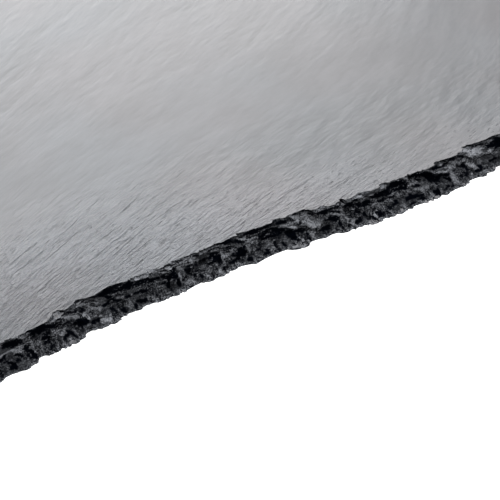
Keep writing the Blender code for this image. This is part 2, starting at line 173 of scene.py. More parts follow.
# Facets of the front edge from left to right, in millimetres: middle along the edge and height over the
# floor, half the length and half the height, how much they fall for each millimetre along, and the light
# painted on them, partly powdered stone: from -1 for painted shade on hollows and walls to 2 for crushed
# spots, painted lightest
Facet = namedtuple("Facet", "middle height half tall tilt powder")
FRONT_FACETS = (
    (-57.2, 4.30, 2.2, 0.70, 0.10, -1.0),
    (-55.4, 4.90, 1.8, 0.45, 0.45, 0.9),
    (-59.0, 3.35, 2.2, 0.22, 0.03, 1.1),
    (-56.3, 2.90, 1.1, 0.50, 0.10, 0.8),
    (-60.0, 2.70, 0.9, 0.35, -0.20, -0.9),
    (-58.6, 1.55, 0.9, 0.30, 0.60, -0.7),
    (-58.5, 0.85, 0.7, 0.22, 0.10, -0.9),
    (-56.6, 2.10, 0.5, 0.30, 0.30, -0.7),
    (-56.9, 1.40, 0.5, 0.20, -0.20, -0.6),
    (-54.6, 2.45, 0.7, 0.40, 0.10, -0.9),
    (-54.3, 1.85, 0.8, 0.35, 0.55, -0.8),
    (-53.5, 1.00, 0.6, 0.50, 0.60, -1.0),
    (-53.2, 2.40, 0.3, 1.30, 0.00, 0.7),
    (-53.2, 5.15, 1.4, 0.20, 0.20, -0.9),
    (-53.6, 4.60, 0.8, 0.30, 0.40, 0.5),
    (-51.2, 4.15, 2.4, 0.80, 0.10, -1.0),
    (-50.1, 2.45, 1.0, 0.50, 0.00, -1.0),
    (-50.4, 1.70, 0.9, 0.22, 0.10, -0.6),
    (-49.9, 0.60, 0.3, 0.30, 0.00, -0.9),
    (-48.2, 4.10, 1.5, 0.75, 0.20, -1.0),
    (-46.2, 4.20, 1.2, 0.35, 0.50, -1.0),
    (-47.5, 5.00, 1.8, 0.15, 0.05, 1.1),
    (-48.2, 2.50, 1.1, 0.45, 0.00, 0.4),
    (-46.5, 1.90, 0.8, 0.45, 0.00, 0.5),
    (-46.3, 3.40, 0.9, 0.40, 0.20, -0.4),
    (-45.5, 2.80, 0.8, 0.22, 0.05, -0.6),
    (-46.2, 1.10, 1.0, 0.28, -0.10, -0.9),
    (-44.7, 1.15, 0.9, 0.32, 0.80, -0.9),
    (-45.5, 0.55, 0.5, 0.30, 0.00, 1.0),
    (-48.5, 0.50, 0.5, 0.30, -0.30, 0.6),
    (-44.6, 3.80, 1.8, 0.35, 0.50, 0.9),
    (-43.4, 3.20, 1.3, 0.40, 0.15, 0.7),
    (-43.2, 4.20, 1.1, 0.20, 0.35, -0.8),
    (-44.2, 4.70, 0.8, 0.14, 0.30, -0.6),
    (-43.0, 4.85, 0.6, 0.09, 0.00, -0.9),
    (-43.7, 1.00, 0.3, 0.70, 0.30, 0.6),
    (-41.9, 1.90, 1.6, 0.70, 0.05, -1.0),
    (-40.6, 4.75, 0.6, 0.08, 0.05, -1.0),
    (-41.2, 4.55, 1.4, 0.16, 0.30, 1.2),
    (-40.1, 4.00, 1.3, 0.35, 0.35, 1.0),
    (-41.5, 4.15, 0.6, 0.14, 0.50, -0.7),
    (-41.2, 3.60, 0.8, 0.24, 0.20, -0.6),
    (-41.0, 2.75, 0.3, 0.22, 0.00, 1.4),
    (-40.3, 2.10, 0.3, 0.18, 0.10, 1.2),
    (-41.2, 0.70, 0.9, 0.60, -0.40, 0.5),
    (-39.5, 1.10, 0.6, 0.32, 0.00, -0.9),
    (-39.3, 2.50, 0.6, 0.20, 0.10, -0.5),
    (-38.2, 2.60, 0.9, 0.65, 0.20, 0.4),
    (-38.7, 1.90, 0.3, 0.18, 0.00, 1.1),
    (-37.7, 1.55, 0.3, 0.25, 0.00, 1.6),
    (-38.5, 1.10, 0.5, 0.40, 0.00, -0.7),
    (-36.9, 0.80, 1.3, 0.40, 0.00, 1.0),
    (-37.9, 5.10, 1.0, 0.20, 0.15, -1.0),
    (-36.4, 4.60, 0.9, 0.40, 0.60, -1.0),
    (-35.0, 4.60, 1.7, 0.75, 0.05, -1.0),
    (-33.1, 4.90, 1.5, 0.45, 0.00, -1.0),
    (-36.6, 3.60, 1.1, 0.40, 0.10, 0.3),
    (-33.9, 3.60, 0.5, 0.30, 0.00, 0.2),
    (-34.6, 3.40, 0.7, 0.28, 0.30, -0.9),
    (-35.6, 2.55, 1.2, 0.28, 0.05, -1.0),
    (-33.3, 2.50, 1.0, 0.30, 0.30, -0.8),
    (-34.8, 1.50, 0.5, 0.20, 0.30, -0.9),
    (-32.5, 0.50, 0.5, 0.35, 0.00, -0.8),
    (-32.9, 4.00, 0.5, 0.50, 0.00, -0.8),
    (-30.5, 4.30, 1.6, 0.85, 0.00, -1.0),
    (-28.0, 3.95, 1.8, 0.62, 0.00, -1.0),
    (-26.1, 4.10, 1.0, 0.38, 0.25, -1.0),
    (-27.0, 4.95, 2.0, 0.32, 0.00, 1.4),
    (-24.5, 5.10, 1.6, 0.28, 0.10, 1.0),
    (-28.5, 3.10, 1.9, 0.22, 0.00, 0.1),
    (-28.0, 2.45, 1.9, 0.26, 0.05, -1.0),
    (-30.8, 2.40, 0.9, 0.20, 0.00, -0.9),
    (-29.9, 2.55, 0.2, 0.15, 0.00, 1.0),
    (-31.0, 1.10, 0.9, 0.70, 0.00, 0.4),
    (-28.1, 1.00, 1.2, 0.35, 0.05, -0.9),
    (-29.9, 0.50, 0.3, 0.50, 0.00, -0.8),
    (-26.4, 0.90, 0.9, 0.60, 0.00, 0.6),
    (-24.2, 1.60, 1.5, 0.70, 0.00, 0.4),
    (-24.5, 1.60, 0.3, 0.20, 0.00, 1.0),
    (-24.8, 4.20, 0.7, 0.30, 0.10, 0.5),
    (-25.1, 3.50, 0.9, 0.32, 0.00, -1.0),
    (-23.6, 3.60, 0.4, 0.35, 0.00, -0.9),
    (-22.4, 3.60, 0.4, 0.60, 0.10, -0.9),
    (-22.6, 2.30, 0.6, 0.20, 0.00, -0.8),
    (-20.6, 4.40, 1.9, 0.26, 0.35, -1.0),
    (-20.0, 4.82, 2.2, 0.14, 0.00, 1.6),
    (-19.2, 5.20, 1.3, 0.14, 0.20, -0.5),
    (-20.9, 3.00, 1.7, 0.85, 0.15, -1.0),
    (-21.6, 1.60, 0.5, 0.80, 0.00, -0.8),
    (-20.1, 1.60, 0.4, 0.40, 0.00, 0.4),
    (-19.4, 1.30, 0.4, 0.80, 0.00, -0.9),
    (-18.5, 3.80, 0.9, 0.65, 0.30, 1.0),
    (-18.7, 2.00, 0.3, 1.30, 0.00, 0.8),
    (-17.8, 3.00, 0.6, 0.80, 0.00, 0.5),
    (-16.6, 2.70, 0.6, 1.05, 0.20, -1.0),
    (-17.9, 1.50, 0.8, 0.18, 0.00, -0.8),
    (-17.2, 0.80, 1.3, 0.35, 0.10, 0.7),
    (-16.3, 4.50, 2.0, 0.50, 0.20, 0.9),
    (-14.5, 3.70, 1.1, 0.32, 0.45, 1.1),
    (-14.9, 3.15, 0.7, 0.35, 0.00, -0.6),
    (-15.5, 1.20, 0.3, 0.35, 0.00, -0.9),
    (-14.0, 1.00, 0.8, 0.28, 0.00, -0.6),
    (-13.6, 4.75, 1.2, 0.11, 0.00, -0.5),
    (-12.8, 3.10, 0.9, 0.22, -0.20, -0.6),
    (-12.8, 1.20, 1.0, 0.60, 0.00, 0.5),
    (-10.2, 4.40, 1.9, 0.10, 0.03, -1.0),
    (-9.7, 3.95, 0.9, 0.22, 0.40, 0.9),
    (-10.5, 3.50, 1.4, 0.25, -0.10, -1.0),
    (-9.6, 2.60, 0.8, 1.00, 0.20, -1.0),
    (-11.2, 2.60, 0.8, 0.30, 0.00, -0.8),
    (-10.1, 0.95, 0.4, 0.40, 0.00, 0.9),
    (-9.0, 0.75, 0.4, 0.30, 0.00, -0.7),
    (-8.5, 2.30, 0.3, 1.20, 0.00, 0.8),
    (-7.8, 2.60, 0.6, 0.80, 0.10, 0.5),
    (-7.2, 5.00, 2.1, 0.33, 0.08, -1.0),
    (-4.5, 4.50, 2.1, 0.10, 0.00, -1.0),
    (-7.0, 3.50, 1.1, 0.18, 0.10, -0.9),
    (-4.0, 4.00, 1.7, 0.28, 0.35, -1.0),
    (-2.9, 4.15, 1.0, 0.22, 0.35, 1.1),
    (-6.4, 2.80, 0.9, 0.45, 0.00, 0.4),
    (-4.3, 2.05, 2.0, 0.90, 0.00, -1.0),
    (-6.3, 1.15, 1.2, 0.32, 0.00, -0.9),
    (-4.6, 0.70, 0.3, 0.30, -0.80, 0.5),
    (-2.9, 0.50, 0.7, 0.25, 0.00, -0.9),
    (-2.2, 2.30, 0.4, 1.20, 0.20, 0.8),
    (-0.2, 4.85, 2.0, 0.55, 0.00, -1.0),
    (-1.4, 3.40, 0.9, 0.50, 0.10, 0.5),
    (-0.3, 2.80, 1.2, 0.45, 0.15, 0.4),
    (-1.2, 2.70, 0.7, 0.10, 0.40, -0.4),
    (0.2, 3.50, 0.3, 0.12, 0.50, 1.0),
    (2.9, 4.75, 2.2, 0.45, 0.00, -1.0),
    (2.2, 3.45, 1.9, 0.45, 0.00, -1.0),
    (3.7, 2.70, 2.5, 0.45, 0.00, -0.9),
    (5.6, 3.30, 1.8, 0.42, 0.25, -1.0),
    (6.3, 4.65, 1.3, 0.32, 0.00, -1.0),
    (7.0, 3.80, 1.5, 0.33, 0.20, 0.8),
    (-0.2, 1.20, 0.7, 0.11, 0.00, -0.8),
    (1.5, 0.45, 0.7, 0.25, 0.00, -1.0),
    (2.8, 0.85, 0.9, 0.50, 0.00, 0.5),
    (4.1, 1.00, 0.3, 0.70, 0.00, -0.8),
    (5.1, 0.90, 0.5, 0.50, -0.80, 0.5),
    (5.8, 0.80, 0.3, 0.45, 0.00, -0.8),
    (6.5, 1.10, 0.5, 0.55, 0.00, 0.4),
    (8.1, 1.80, 1.0, 1.15, 0.35, -1.0),
    (8.6, 4.60, 1.2, 0.38, 0.30, -0.7),
    (9.9, 4.50, 1.2, 0.38, 0.70, 1.1),
    (11.8, 4.50, 1.7, 0.45, 0.00, 0.8),
    (10.2, 5.25, 0.5, 0.14, 0.00, -0.9),
    (12.8, 5.20, 1.1, 0.14, 0.12, -0.9),
    (10.6, 3.70, 0.6, 0.10, 0.05, -1.0),
    (10.6, 3.20, 0.6, 0.35, 0.00, -0.4),
    (9.0, 3.00, 1.2, 0.30, 0.35, 0.9),
    (12.4, 3.20, 1.5, 0.80, -0.10, 0.9),
    (13.9, 2.60, 1.7, 0.75, 0.00, 0.7),
    (15.8, 3.00, 0.9, 0.28, -0.30, 0.6),
    (10.3, 2.00, 1.3, 0.38, 0.10, -0.7),
    (9.8, 0.55, 0.4, 0.14, -0.30, 1.3),
    (11.4, 0.80, 0.3, 0.70, 0.00, -0.9),
    (12.3, 1.00, 0.6, 0.65, 0.00, 0.8),
    (13.2, 1.20, 0.3, 0.25, 0.00, 1.3),
    (15.8, 4.40, 1.4, 0.50, 0.00, -1.0),
    (13.9, 4.45, 0.8, 0.18, 0.00, -0.8),
    (15.6, 5.20, 1.0, 0.20, 0.00, 0.6),
    (17.6, 4.65, 0.9, 0.30, 0.00, -0.9),
    (17.6, 2.60, 1.7, 0.52, 0.12, -1.0),
    (15.6, 1.05, 1.4, 0.32, 0.00, -0.8),
    (17.6, 0.80, 0.3, 0.50, 0.00, 0.4),
    (18.9, 4.75, 1.4, 0.33, 0.08, -1.0),
    (19.4, 3.70, 0.4, 0.20, 0.00, -0.8),
    (18.6, 3.40, 0.9, 0.28, 0.25, 0.7),
    (20.3, 3.10, 1.2, 0.70, 0.00, 0.5),
    (21.2, 5.00, 0.3, 0.35, 0.00, -0.9),
    (22.6, 4.00, 1.5, 0.68, 0.00, -1.0),
    (24.2, 4.40, 0.9, 0.38, 0.50, -1.0),
    (23.6, 5.20, 2.5, 0.25, 0.10, 0.8),
    (24.8, 4.85, 0.6, 0.08, 0.00, -0.9),
    (25.7, 4.40, 1.3, 0.33, 0.40, 0.8),
    (25.7, 3.10, 2.0, 0.55, 0.08, -1.0),
    (24.2, 2.30, 0.6, 0.70, 0.00, -0.9),
    (20.8, 1.80, 1.2, 0.20, 0.20, 0.6),
    (21.0, 0.80, 0.5, 0.45, -0.30, -0.8),
    (19.2, 1.40, 0.3, 0.70, 0.00, -0.8),
    (22.0, 0.90, 0.6, 0.50, 0.00, 0.5),
    (23.3, 0.80, 0.8, 0.40, 0.00, -0.8),
    (24.4, 1.50, 0.4, 0.25, 0.00, 0.6),
    (25.4, 1.30, 0.4, 0.60, 0.00, -0.6),
    (26.4, 1.70, 0.6, 0.40, -0.30, 0.4),
    (26.9, 0.60, 0.5, 0.40, 0.00, -0.8),
    (27.45, 0.85, 0.3, 0.30, 0.00, 2.0),
    (28.3, 4.10, 0.5, 0.30, 0.00, 1.1),
    (29.6, 4.90, 1.2, 0.25, 0.25, 0.4),
    (32.0, 4.90, 1.2, 0.20, 0.20, 0.3),
    (31.3, 3.75, 3.0, 0.70, 0.00, -1.0),
    (35.1, 4.20, 2.4, 0.80, 0.05, -1.0),
    (34.6, 3.30, 2.6, 0.35, 0.00, -1.0),
    (37.1, 3.60, 1.0, 0.50, 0.00, -1.0),
    (34.5, 5.20, 1.5, 0.20, 0.00, 0.6),
    (29.5, 2.45, 0.3, 0.16, 0.00, 1.1),
    (30.6, 2.50, 1.4, 0.28, 0.00, -0.8),
    (30.4, 1.85, 0.3, 0.20, 0.00, 0.9),
    (30.3, 1.05, 0.4, 0.13, 0.00, 1.6),
    (28.9, 0.80, 0.9, 0.40, 0.00, -0.8),
    (33.2, 1.30, 1.2, 0.25, 0.00, -0.8),
    (33.0, 2.45, 1.2, 0.18, 0.00, -0.7),
    (34.4, 2.10, 0.8, 0.28, -0.20, 0.4),
    (37.3, 2.40, 1.2, 0.45, 0.25, 0.6),
    (36.9, 1.30, 1.2, 0.28, 0.05, -0.9),
    (37.0, 0.40, 1.0, 0.20, 0.00, -0.8),
    (34.9, 0.60, 0.6, 0.35, 0.00, 0.7),
    (40.3, 4.50, 2.4, 0.70, 0.15, -1.0),
    (42.2, 4.00, 1.8, 0.50, 0.30, -1.0),
    (44.2, 3.00, 1.4, 0.90, 0.15, -1.0),
    (39.2, 3.30, 1.4, 0.28, 0.00, 0.4),
    (39.7, 2.85, 1.0, 0.16, 0.00, -0.9),
    (41.6, 3.20, 1.3, 0.14, 0.20, -0.7),
    (40.5, 2.10, 1.9, 0.40, 0.05, 0.5),
    (39.4, 2.15, 0.3, 0.20, 0.00, 1.1),
    (38.9, 1.20, 1.7, 0.30, 0.08, -1.0),
    (39.6, 0.60, 0.9, 0.20, 0.00, -0.8),
    (42.3, 0.60, 1.0, 0.35, 0.00, 0.4),
    (43.7, 0.70, 0.7, 0.60, 0.00, -1.0),
    (44.2, 4.20, 1.6, 0.24, 0.35, 1.0),
    (46.8, 3.50, 1.8, 0.40, 0.08, 1.0),
    (49.5, 3.40, 1.8, 0.48, 0.00, 0.8),
    (45.4, 4.60, 1.4, 0.28, 0.15, -1.0),
    (48.3, 4.25, 2.0, 0.12, 0.00, -1.0),
    (47.5, 4.80, 0.4, 0.45, 0.50, 0.6),
    (50.8, 4.70, 0.9, 0.48, 0.00, -1.0),
    (46.3, 2.50, 1.0, 0.45, 0.00, -0.5),
    (47.8, 2.60, 1.0, 0.25, 0.00, -0.7),
    (48.0, 1.85, 0.6, 0.38, 0.40, -1.0),
    (49.4, 2.00, 0.6, 1.10, 0.00, 0.8),
    (46.9, 0.80, 0.8, 0.20, -0.25, -0.7),
    (48.2, 0.70, 0.5, 0.15, 0.00, -1.0),
    (49.6, 1.00, 0.8, 0.55, 0.00, 0.8),
    (53.2, 4.65, 1.1, 0.28, 0.50, -0.9),
    (52.5, 3.60, 1.7, 0.33, 0.30, 0.8),
    (54.2, 3.20, 1.1, 0.28, 0.30, 1.1),
    (55.0, 5.00, 1.9, 0.28, 0.30, 1.2),
    (56.8, 5.20, 1.4, 0.14, 0.15, -0.8),
    (58.8, 4.85, 1.7, 0.18, 0.03, -1.0),
    (57.5, 4.00, 2.6, 0.78, 0.15, 1.2),
    (53.0, 2.60, 1.4, 0.38, 0.45, -1.0),
    (55.1, 2.60, 0.3, 0.25, 0.00, 1.9),
    (55.6, 2.10, 1.1, 0.80, 0.30, 1.0),
    (51.6, 1.30, 0.5, 0.25, 0.00, -0.8),
    (53.2, 1.20, 0.9, 0.20, 0.00, -0.7),
    (54.8, 0.70, 0.3, 0.25, 0.00, 1.4),
    (56.8, 0.90, 1.7, 0.20, -0.12, -0.8),
    (58.3, 1.80, 0.8, 0.50, 0.00, 0.6),
    (60.6, 2.50, 1.2, 0.22, 0.20, 0.1),
    (61.4, 2.90, 1.3, 0.25, 0.15, 0.8),
    (61.9, 1.20, 1.2, 0.25, -0.05, -1.0),
    (62.6, 5.20, 1.6, 0.22, 0.00, -0.9),
    (62.7, 3.70, 1.3, 0.42, 0.25, -1.0),
)

# Kinds of chance facets: how common each is, then the lowest and highest value of each of its sizes and of
# the light painted on it, as in the rows above
FacetKind = namedtuple("FacetKind", "share height half tall tilt powder")
FACET_KINDS = (
    FacetKind(5, (3.3, 5.0), (1.0, 2.6), (0.35, 0.85), (-0.05, 0.25), (-1.0, -1.0)),  # walls
    FacetKind(3, (3.6, 5.0), (1.0, 2.0), (0.14, 0.40), (0.1, 0.5), (-1.0, -0.8)),  # wedges
    FacetKind(4, (2.6, 5.1), (0.8, 2.4), (0.14, 0.50), (0.0, 0.5), (0.5, 1.4)),  # ledges
    FacetKind(7, (0.5, 3.2), (0.5, 1.8), (0.20, 0.95), (-0.1, 0.4), (-1.0, -0.6)),  # hollows
    FacetKind(6, (0.5, 3.4), (0.5, 1.5), (0.30, 0.80), (-0.3, 0.2), (0.3, 0.9)),  # slopes
    FacetKind(2, (0.5, 2.8), (0.2, 0.5), (0.12, 0.30), (-0.3, 0.1), (1.0, 2.0)),  # crushed spots
    FacetKind(2, (0.8, 4.9), (0.5, 2.0), (0.08, 0.14), (0.0, 0.3), (-1.0, -0.7)),  # cracks
)
FACET_GAPS = (0.1, 1.0)  # from the middle of one chance facet to the next, in millimetres
FACET_STRETCH = (64 * MM, -63 * MM)  # from and to where they lie, going round from the front
FRONT_ENDS = (66 * MM, 63 * MM)  # from and to how far from the front's middle its own facets take over

# The shape of a facet
FACET_REACH = 1.5  # how far it may reach to either side, in halves of its length
SQUARENESS = 3  # of its outline, where 2 would be an ellipse
FACET_BORDER = (1.08, 0.86)  # from and to where it takes over, as shares of the way to its outline
FACET_RAGGED = 0.5  # how far that outline strays, as the same share
WEDGE = (0.5, 0.35)  # its height at its left end, as a share of tall, and what is added up to its middle
SMALL_FACET = 0.5 * MM  # one that is lower than this is less ragged, and stands out less
SHADE_SLOPE, LIGHT_SLOPE = 0.15, 0.8  # how far it runs out for each metre down, with no painted light on it and for each step of that light
LIGHT_OUT = 0.08 * MM  # how far it stands out for each step of its painted light
LIGHT_TURN = 0.12  # how far it turns to the right for each step of its painted light

# The light and shade painted on the chance chips, partly powdered stone, on the same scale as a facet's
FALLING_LIGHT, RISING_SHADE, WALL_SHADE, FRONT_LIGHT = 0.45, -0.9, -1.0, 0.1
RISING_SIDE = (0.55, 0.77)  # across a chip, from and to where its side that rises to the right takes over
RISING_RAGGED = 0.22
SHADE_HEIGHT = 0.42  # of the middle of the rising side's part in painted shade, as a share of the edge's height
SHADE_ENDS = (0.50, 0.10)  # from and to where that part takes over, up and down from its middle
SHADE_RAGGED = 0.12
WALL_DEPTH = 1.2 * MM  # of the painted shade on the wall below the rim
WALL_RAGGED = 0.45 * MM
WALL_FADE = 0.25 * MM

# The leaves of the stone, from the rim down
LEAF_THICKNESS = (0.28, 0.62)  # the lowest and the highest, in millimetres
LAST_LEAF = 0.75 * MM  # the leaf that starts at or below this height goes down to the foot
LOWER_SHARE = 0.85  # what is left of the splinters from one leaf to the next below it
RIM_SHARE = 1.4  # the steps of the leaves and their wander fade from this, or at most 1, to 0 at the foot
STEPPED = 0.35  # how far a leaf is drawn to its middle row, on average
TOP_LEAVES, TOP_LOOSE, FOOT_LOOSE = 2, 0.45, 1.2  # the share that the top leaves and the last one wander
SCALLOP_HEIGHT, SCALLOP_DEPTH = 1.0 * MM, 0.6 * MM  # of the scallops along the foot
SCALLOP_OUT = 0.6  # how much of that depth they stand out

# Waves of chance along the edge: their length and height, the level that the noise is read at, and how
# much higher it is read for each next leaf or row
Wave = namedtuple("Wave", "length height level step")
LEAF_WAVE = Wave(9 * MM, 0.09 * MM, 0, 5.3)  # of the line between two leaves, up and down
STRAY_WAVES = (Wave(3.5 * MM, 0.8 * MM, 200, 4.7), Wave(1.2 * MM, 0.35 * MM, 200, 4.7))
LIFT_WAVE = Wave(5 * MM, 0.3 * MM, 300, 0)  # the solid's outline strays along the edge and is lifted
BITE_WAVE = Wave(2.5 * MM, 0.5, 300, 4.7)  # more or less of each sliver is split off
RAGGED_WAVES = (Wave(1.3 * MM, 1.0, 500, 0.6), Wave(0.5 * MM, 1.1, 700, 1.3))
WALL_WAVE = Wave(7 * MM, 1.5 * MM, 820, 0)  # of the depth of the clean wall
STEP_WAVE = Wave(4 * MM, 1.5, 40, 3.7)  # how far a leaf is drawn to its middle row
LINE_WAVES = (Wave(5 * MM, 0.6, 80, 2.9), Wave(1.7 * MM, 0.5, 120, 3.1), Wave(0.7 * MM, 0.3, 160, 3.3))
SCALLOP_WAVES = (Wave(1.2 * MM, 1.0, 900, 0), Wave(0.55 * MM, 1.0, 910, 0))  # along the foot

# Splinters repeat as waves do, but break off at once at one end. A wave that is longer than them, by the
# first number, shifts them along by up to about the second number of their lengths.
SPLINTER_WAVES = (Wave(4.2 * MM, 1.0, 11, 1), Wave(1.6 * MM, 0.4, 31, 1))
SHIFT_LENGTH, SHIFT_SHARE = 2.2, 0.7
SPLINTER_MEAN = 1 / 6  # what they take off on average, which is given back
SCATTER = (12.9, 78.2, 43758.5)  # large enough to scatter the sines of whole numbers

# Small chips struck all round the edge: how many, their lowest and highest radius in millimetres and their
# depth against the setting
Blows = namedtuple("Blows", "count radii depth")
MIDDLING_BLOWS = Blows(120, (1.2, 2.4), 1.0)
SMALL_BLOWS = Blows(3800, (0.35, 1.0), 1.6)
BLOW_HEIGHTS, BLOW_CROWDING = (0, 0.9), 1.3  # where they land, crowded towards the foot
BLOW_DEPTHS = (0.5, 1.4)
BLOW_STRETCHES = (0.7, 1.6)  # along the edge
BLOW_REACH = 1.5  # how far one may reach, in radii
LEAN_ROWS = 3  # how many rows up and down the lean of the edge is taken over

GRAINS = ((0.9 * MM, 1.0), (0.42 * MM, 0.8))  # width and share of the setting
RIB_LEAN = 0.25  # how far a rib runs along the edge for each metre up it
RIB_RAGGED = 0.35 * MM
BOW = 1.7 * MM  # how far the grain bends down across a chip

# How far the edge may stand in and out from its own smoothed shape and from the solid's, each at the rim
# and the foot and then between them
SMOOTH_WIDTH = 1.6 * MM
SMOOTH_IN, SMOOTH_OUT = (0.6 * MM, 1.2 * MM), (0.25 * MM, 0.45 * MM)
SOLID_IN, SOLID_OUT = (0.8 * MM, 1.2 * MM), (0.3 * MM, 0.7 * MM)
END_SHARE = 0.2  # of the height, over which the first limits pass over into the second
PROUD_WIDTH, PROUD_MOST = 1.8 * MM, 0.4 * MM  # what a point stands out from, and how far it can
EVEN_STEP = 0.25 * MM  # between the points that the edge is smoothed on
KERNEL_REACH = 3  # widths to either side

# How finely the slab is divided
CELLS = (110, 70)  # the middle of the face, along X and Y
COLUMNS_A_CELL = 4
CLOSE_COLUMNS = 12  # in a cell beside the stretch of the front edge that is seen from close by
CLOSE_STRETCH = (-68 * MM, 72 * MM)
FACE_SHARES = (0.35, 0.65, 0.85, 0.96)  # rings from the middle's outline out to the rim
LEAF_ROWS = (0.06, 0.5, 0.94)  # where the rows of points lie on a leaf, from its top to its bottom
BACK_SHARES = (0.12, 0.45)  # rings from the foot in under the slab

# Faces this level have the finish of the split face, unless they are ledges of the edge, between these
# heights. Edges that turn by more than the angle, in degrees, stay sharp.
LEVEL = 0.95
LEDGE_HEIGHTS = (0.3 * MM, 5.0 * MM)
SHARP_ANGLE = 38

# The slab's own map for a bake, in shares of the picture. The face and the back lie flat, each with its
# middle at a place and a length for each metre. The edge is cut in strips that lie over each other.
MAP_NAME = "OFBake"
FlatMap = namedtuple("FlatMap", "middle_u middle_v length")
FACE_MAP = FlatMap(0.5, 0.664, 3.3)
BACK_MAP = FlatMap(0.252, 0.166, -1.63)  # less than 0, because the back is seen from below
STRIPS = 8
STRIP_LEFT, STRIP_FOOT = 0.511, 0.004
STRIP_LENGTH, STRIP_HEIGHT, STRIP_STEP = 0.48, 0.0365, 0.0412

# What the finish of the edge reads from the mesh: how far a point stands out from its surroundings, how far
# it faces up, the light and shade painted on it, partly powdered stone, and how far its grain is bent down
EDGE_LAYERS = ("proud", "upward", "powder", "bow")

# Where the finish of the split face changes, from and to how far in from the outline, or along X. Towards
# the right the face is painted darker, as shade.
BOLD_DEPTHS = (42 * MM, 8 * MM)
DULL_DEPTHS = (80 * MM, 4 * MM)
ROUGH_DEPTHS = (17 * MM, 2 * MM)
BOLD_LEFT = (38 * MM, -58 * MM)
ROUGH_LEFT = (48 * MM, 12 * MM)
SHADE_RIGHT = (-10 * MM, 70 * MM)
COOL, WARM = (0.97, 1.0, 1.035), (1.03, 0.99, 1.0)
DARKEST, LIGHTEST = 0.74, 1.60  # shares of the face's colour

# The same for the edge, from and to how high over the floor
LOW_PART = (3.4 * MM, 0.6 * MM)
# The line along the foot and the high ledges are where light is painted
FOOT_LINE = (0.7 * MM, 0.1 * MM)
HIGH_LEDGES = (2.6 * MM, 3.8 * MM)
GLINT_LIGHT = 2.2  # how light the painted glints are, against the lit stone's colour
EDGE_BUMP = 0.28 * MM

# The stage: directions are in degrees round from the front and up from the floor, sizes in metres
Lamp = namedtuple("Lamp", "size direction distance")
LAMPS = {
    "back_light": Lamp((1.2, 0.4), (164.0, 20.0), 1.2),
    "top_light": Lamp((0.9, 0.9), (110.0, 70.0), 1.1),
}
WORLD_STRENGTH = 0.6
FLOOR_HALF, FLOOR_ROUGHNESS = 4.0, 0.9
VIEW_TARGET = (-5.01 * MM, -98.18 * MM, THICKNESS)
VIEW_DIRECTION = (-35, 35)
VIEW_DISTANCE = 0.330
VIEW_ANGLE = 17  # the lens takes in this many degrees
VIEW_START = 0.01  # nothing is drawn that is nearer to the camera


class SlabSizes(bpy.types.PropertyGroup):
    """The sizes of the slab's fine surface."""

    chip_depth: FloatProperty(
        name="Chip depth",
        description="Depth of the middling chips, against their radius",
        default=0.18,
        min=0.0,
        max=0.6,
        subtype="FACTOR",
    )
    leaf_wander: FloatProperty(
        name="Leaf wander",
        description="How far the broken line of a leaf of the stone strays",
        default=0.3 * MM,
        unit="LENGTH",
        precision=5,
    )
    grain: FloatProperty(
        name="Grain",
        description="Height of the fine grain on the chipped edge",
        default=0.08 * MM,
        unit="LENGTH",
        precision=5,
    )
    streak: FloatProperty(
        name="Streaks",
        description="Height of the streaks on the split face",
        default=0.08 * MM,
        unit="LENGTH",
        precision=5,
    )
    seed: IntProperty(name="Seed", description="Starts the chance facets and chips", default=5, min=0)


class SlabColours(bpy.types.PropertyGroup):
    """The colours of the slab's surfaces."""

    face: FloatVectorProperty(
        name="Split face",
        description="Colour of the face that split along the cleavage",
        default=(0.0757, 0.0775, 0.0822),
        size=3,
        min=0,
        max=1,
        subtype="COLOR",
    )
    # Near black, painted as shade on the walls, hollows and cracks
    broken: FloatVectorProperty(
        name="Painted shade",
        description="Colour of the clean stone in walls, hollows and cracks",
        default=(0.0006, 0.0009, 0.0018),
        size=3,
        min=0,
        max=1,
        subtype="COLOR",
    )
    # Grey, painted as light where the edge is lit, and partly the colour of powdered stone
    crushed_and_lit: FloatVectorProperty(
        name="Lit powdered stone",
        description="Colour of the ledges, slopes and foot, where the blows left powder",
        default=(0.153, 0.159, 0.173),
        size=3,
        min=0,
        max=1,
        subtype="COLOR",
    )


class StageSettings(bpy.types.PropertyGroup):
    """The floor and the light."""

    floor: FloatVectorProperty(
        name="Floor",
        description="Colour of the floor",
        default=(0.9, 0.9, 0.9),
        size=3,
        min=0,
        max=1,
        subtype="COLOR",
    )
    back_light: FloatProperty(
        name="Back light", description="Power of the soft light behind the slab", default=10.0, unit="POWER"
    )
    top_light: FloatProperty(
        name="Top light", description="Power of the soft light over the slab", default=26.0, unit="POWER"
    )


def ramp(value, start, end):
    """0 as far as start, 1 from end on, and growing evenly between them. Either may be the lower one."""
    return np.clip((value - start) / (end - start), 0, 1)


def mixed(first, second, share):
    return first + (second - first) * share


def wrapped(distance):
    """A distance along the edge, taken the short way round."""
    return (distance + EDGE_LENGTH / 2) % EDGE_LENGTH - EDGE_LENGTH / 2


def wander(along):
    """How far the rim stands out from its straight line, away from the front's own chips."""
    turn = 2 * math.pi * along / EDGE_LENGTH
    return UNEVEN * sum(share * math.sin(count * turn + start) for count, start, share in RIM_WAVES)


def all_chips():
    """The front's chips, then chance ones the rest of the way round."""
    chips = [Chip(*(size * MM for size in chip)) for chip in FRONT_CHIPS]
    draw = random.Random(SEED)
    place = chips[-1].middle + chips[-1].width / 2
    end = EDGE_LENGTH + chips[0].middle - chips[0].width / 2
    while end - place > LEAST_CHIP:
        width = min(draw.uniform(*CHANCE_WIDTHS), end - place)
        middle = place + width / 2
        rim = wander(middle) + draw.uniform(*CHANCE_RIMS)
        chips.append(Chip(middle, width, rim, rim + FLARE * draw.uniform(*CHANCE_FLARES)))
        place += width
    return chips


def chip_phase(along):
    """How far each place lies across its own chip, from 0 at the left rib to 1 at the right one."""
    phase = np.zeros_like(along)
    for chip in all_chips():
        across = wrapped(along - chip.middle) / chip.width + 0.5
        phase = np.where((across >= 0) & (across < 1), across, phase)
    return phase


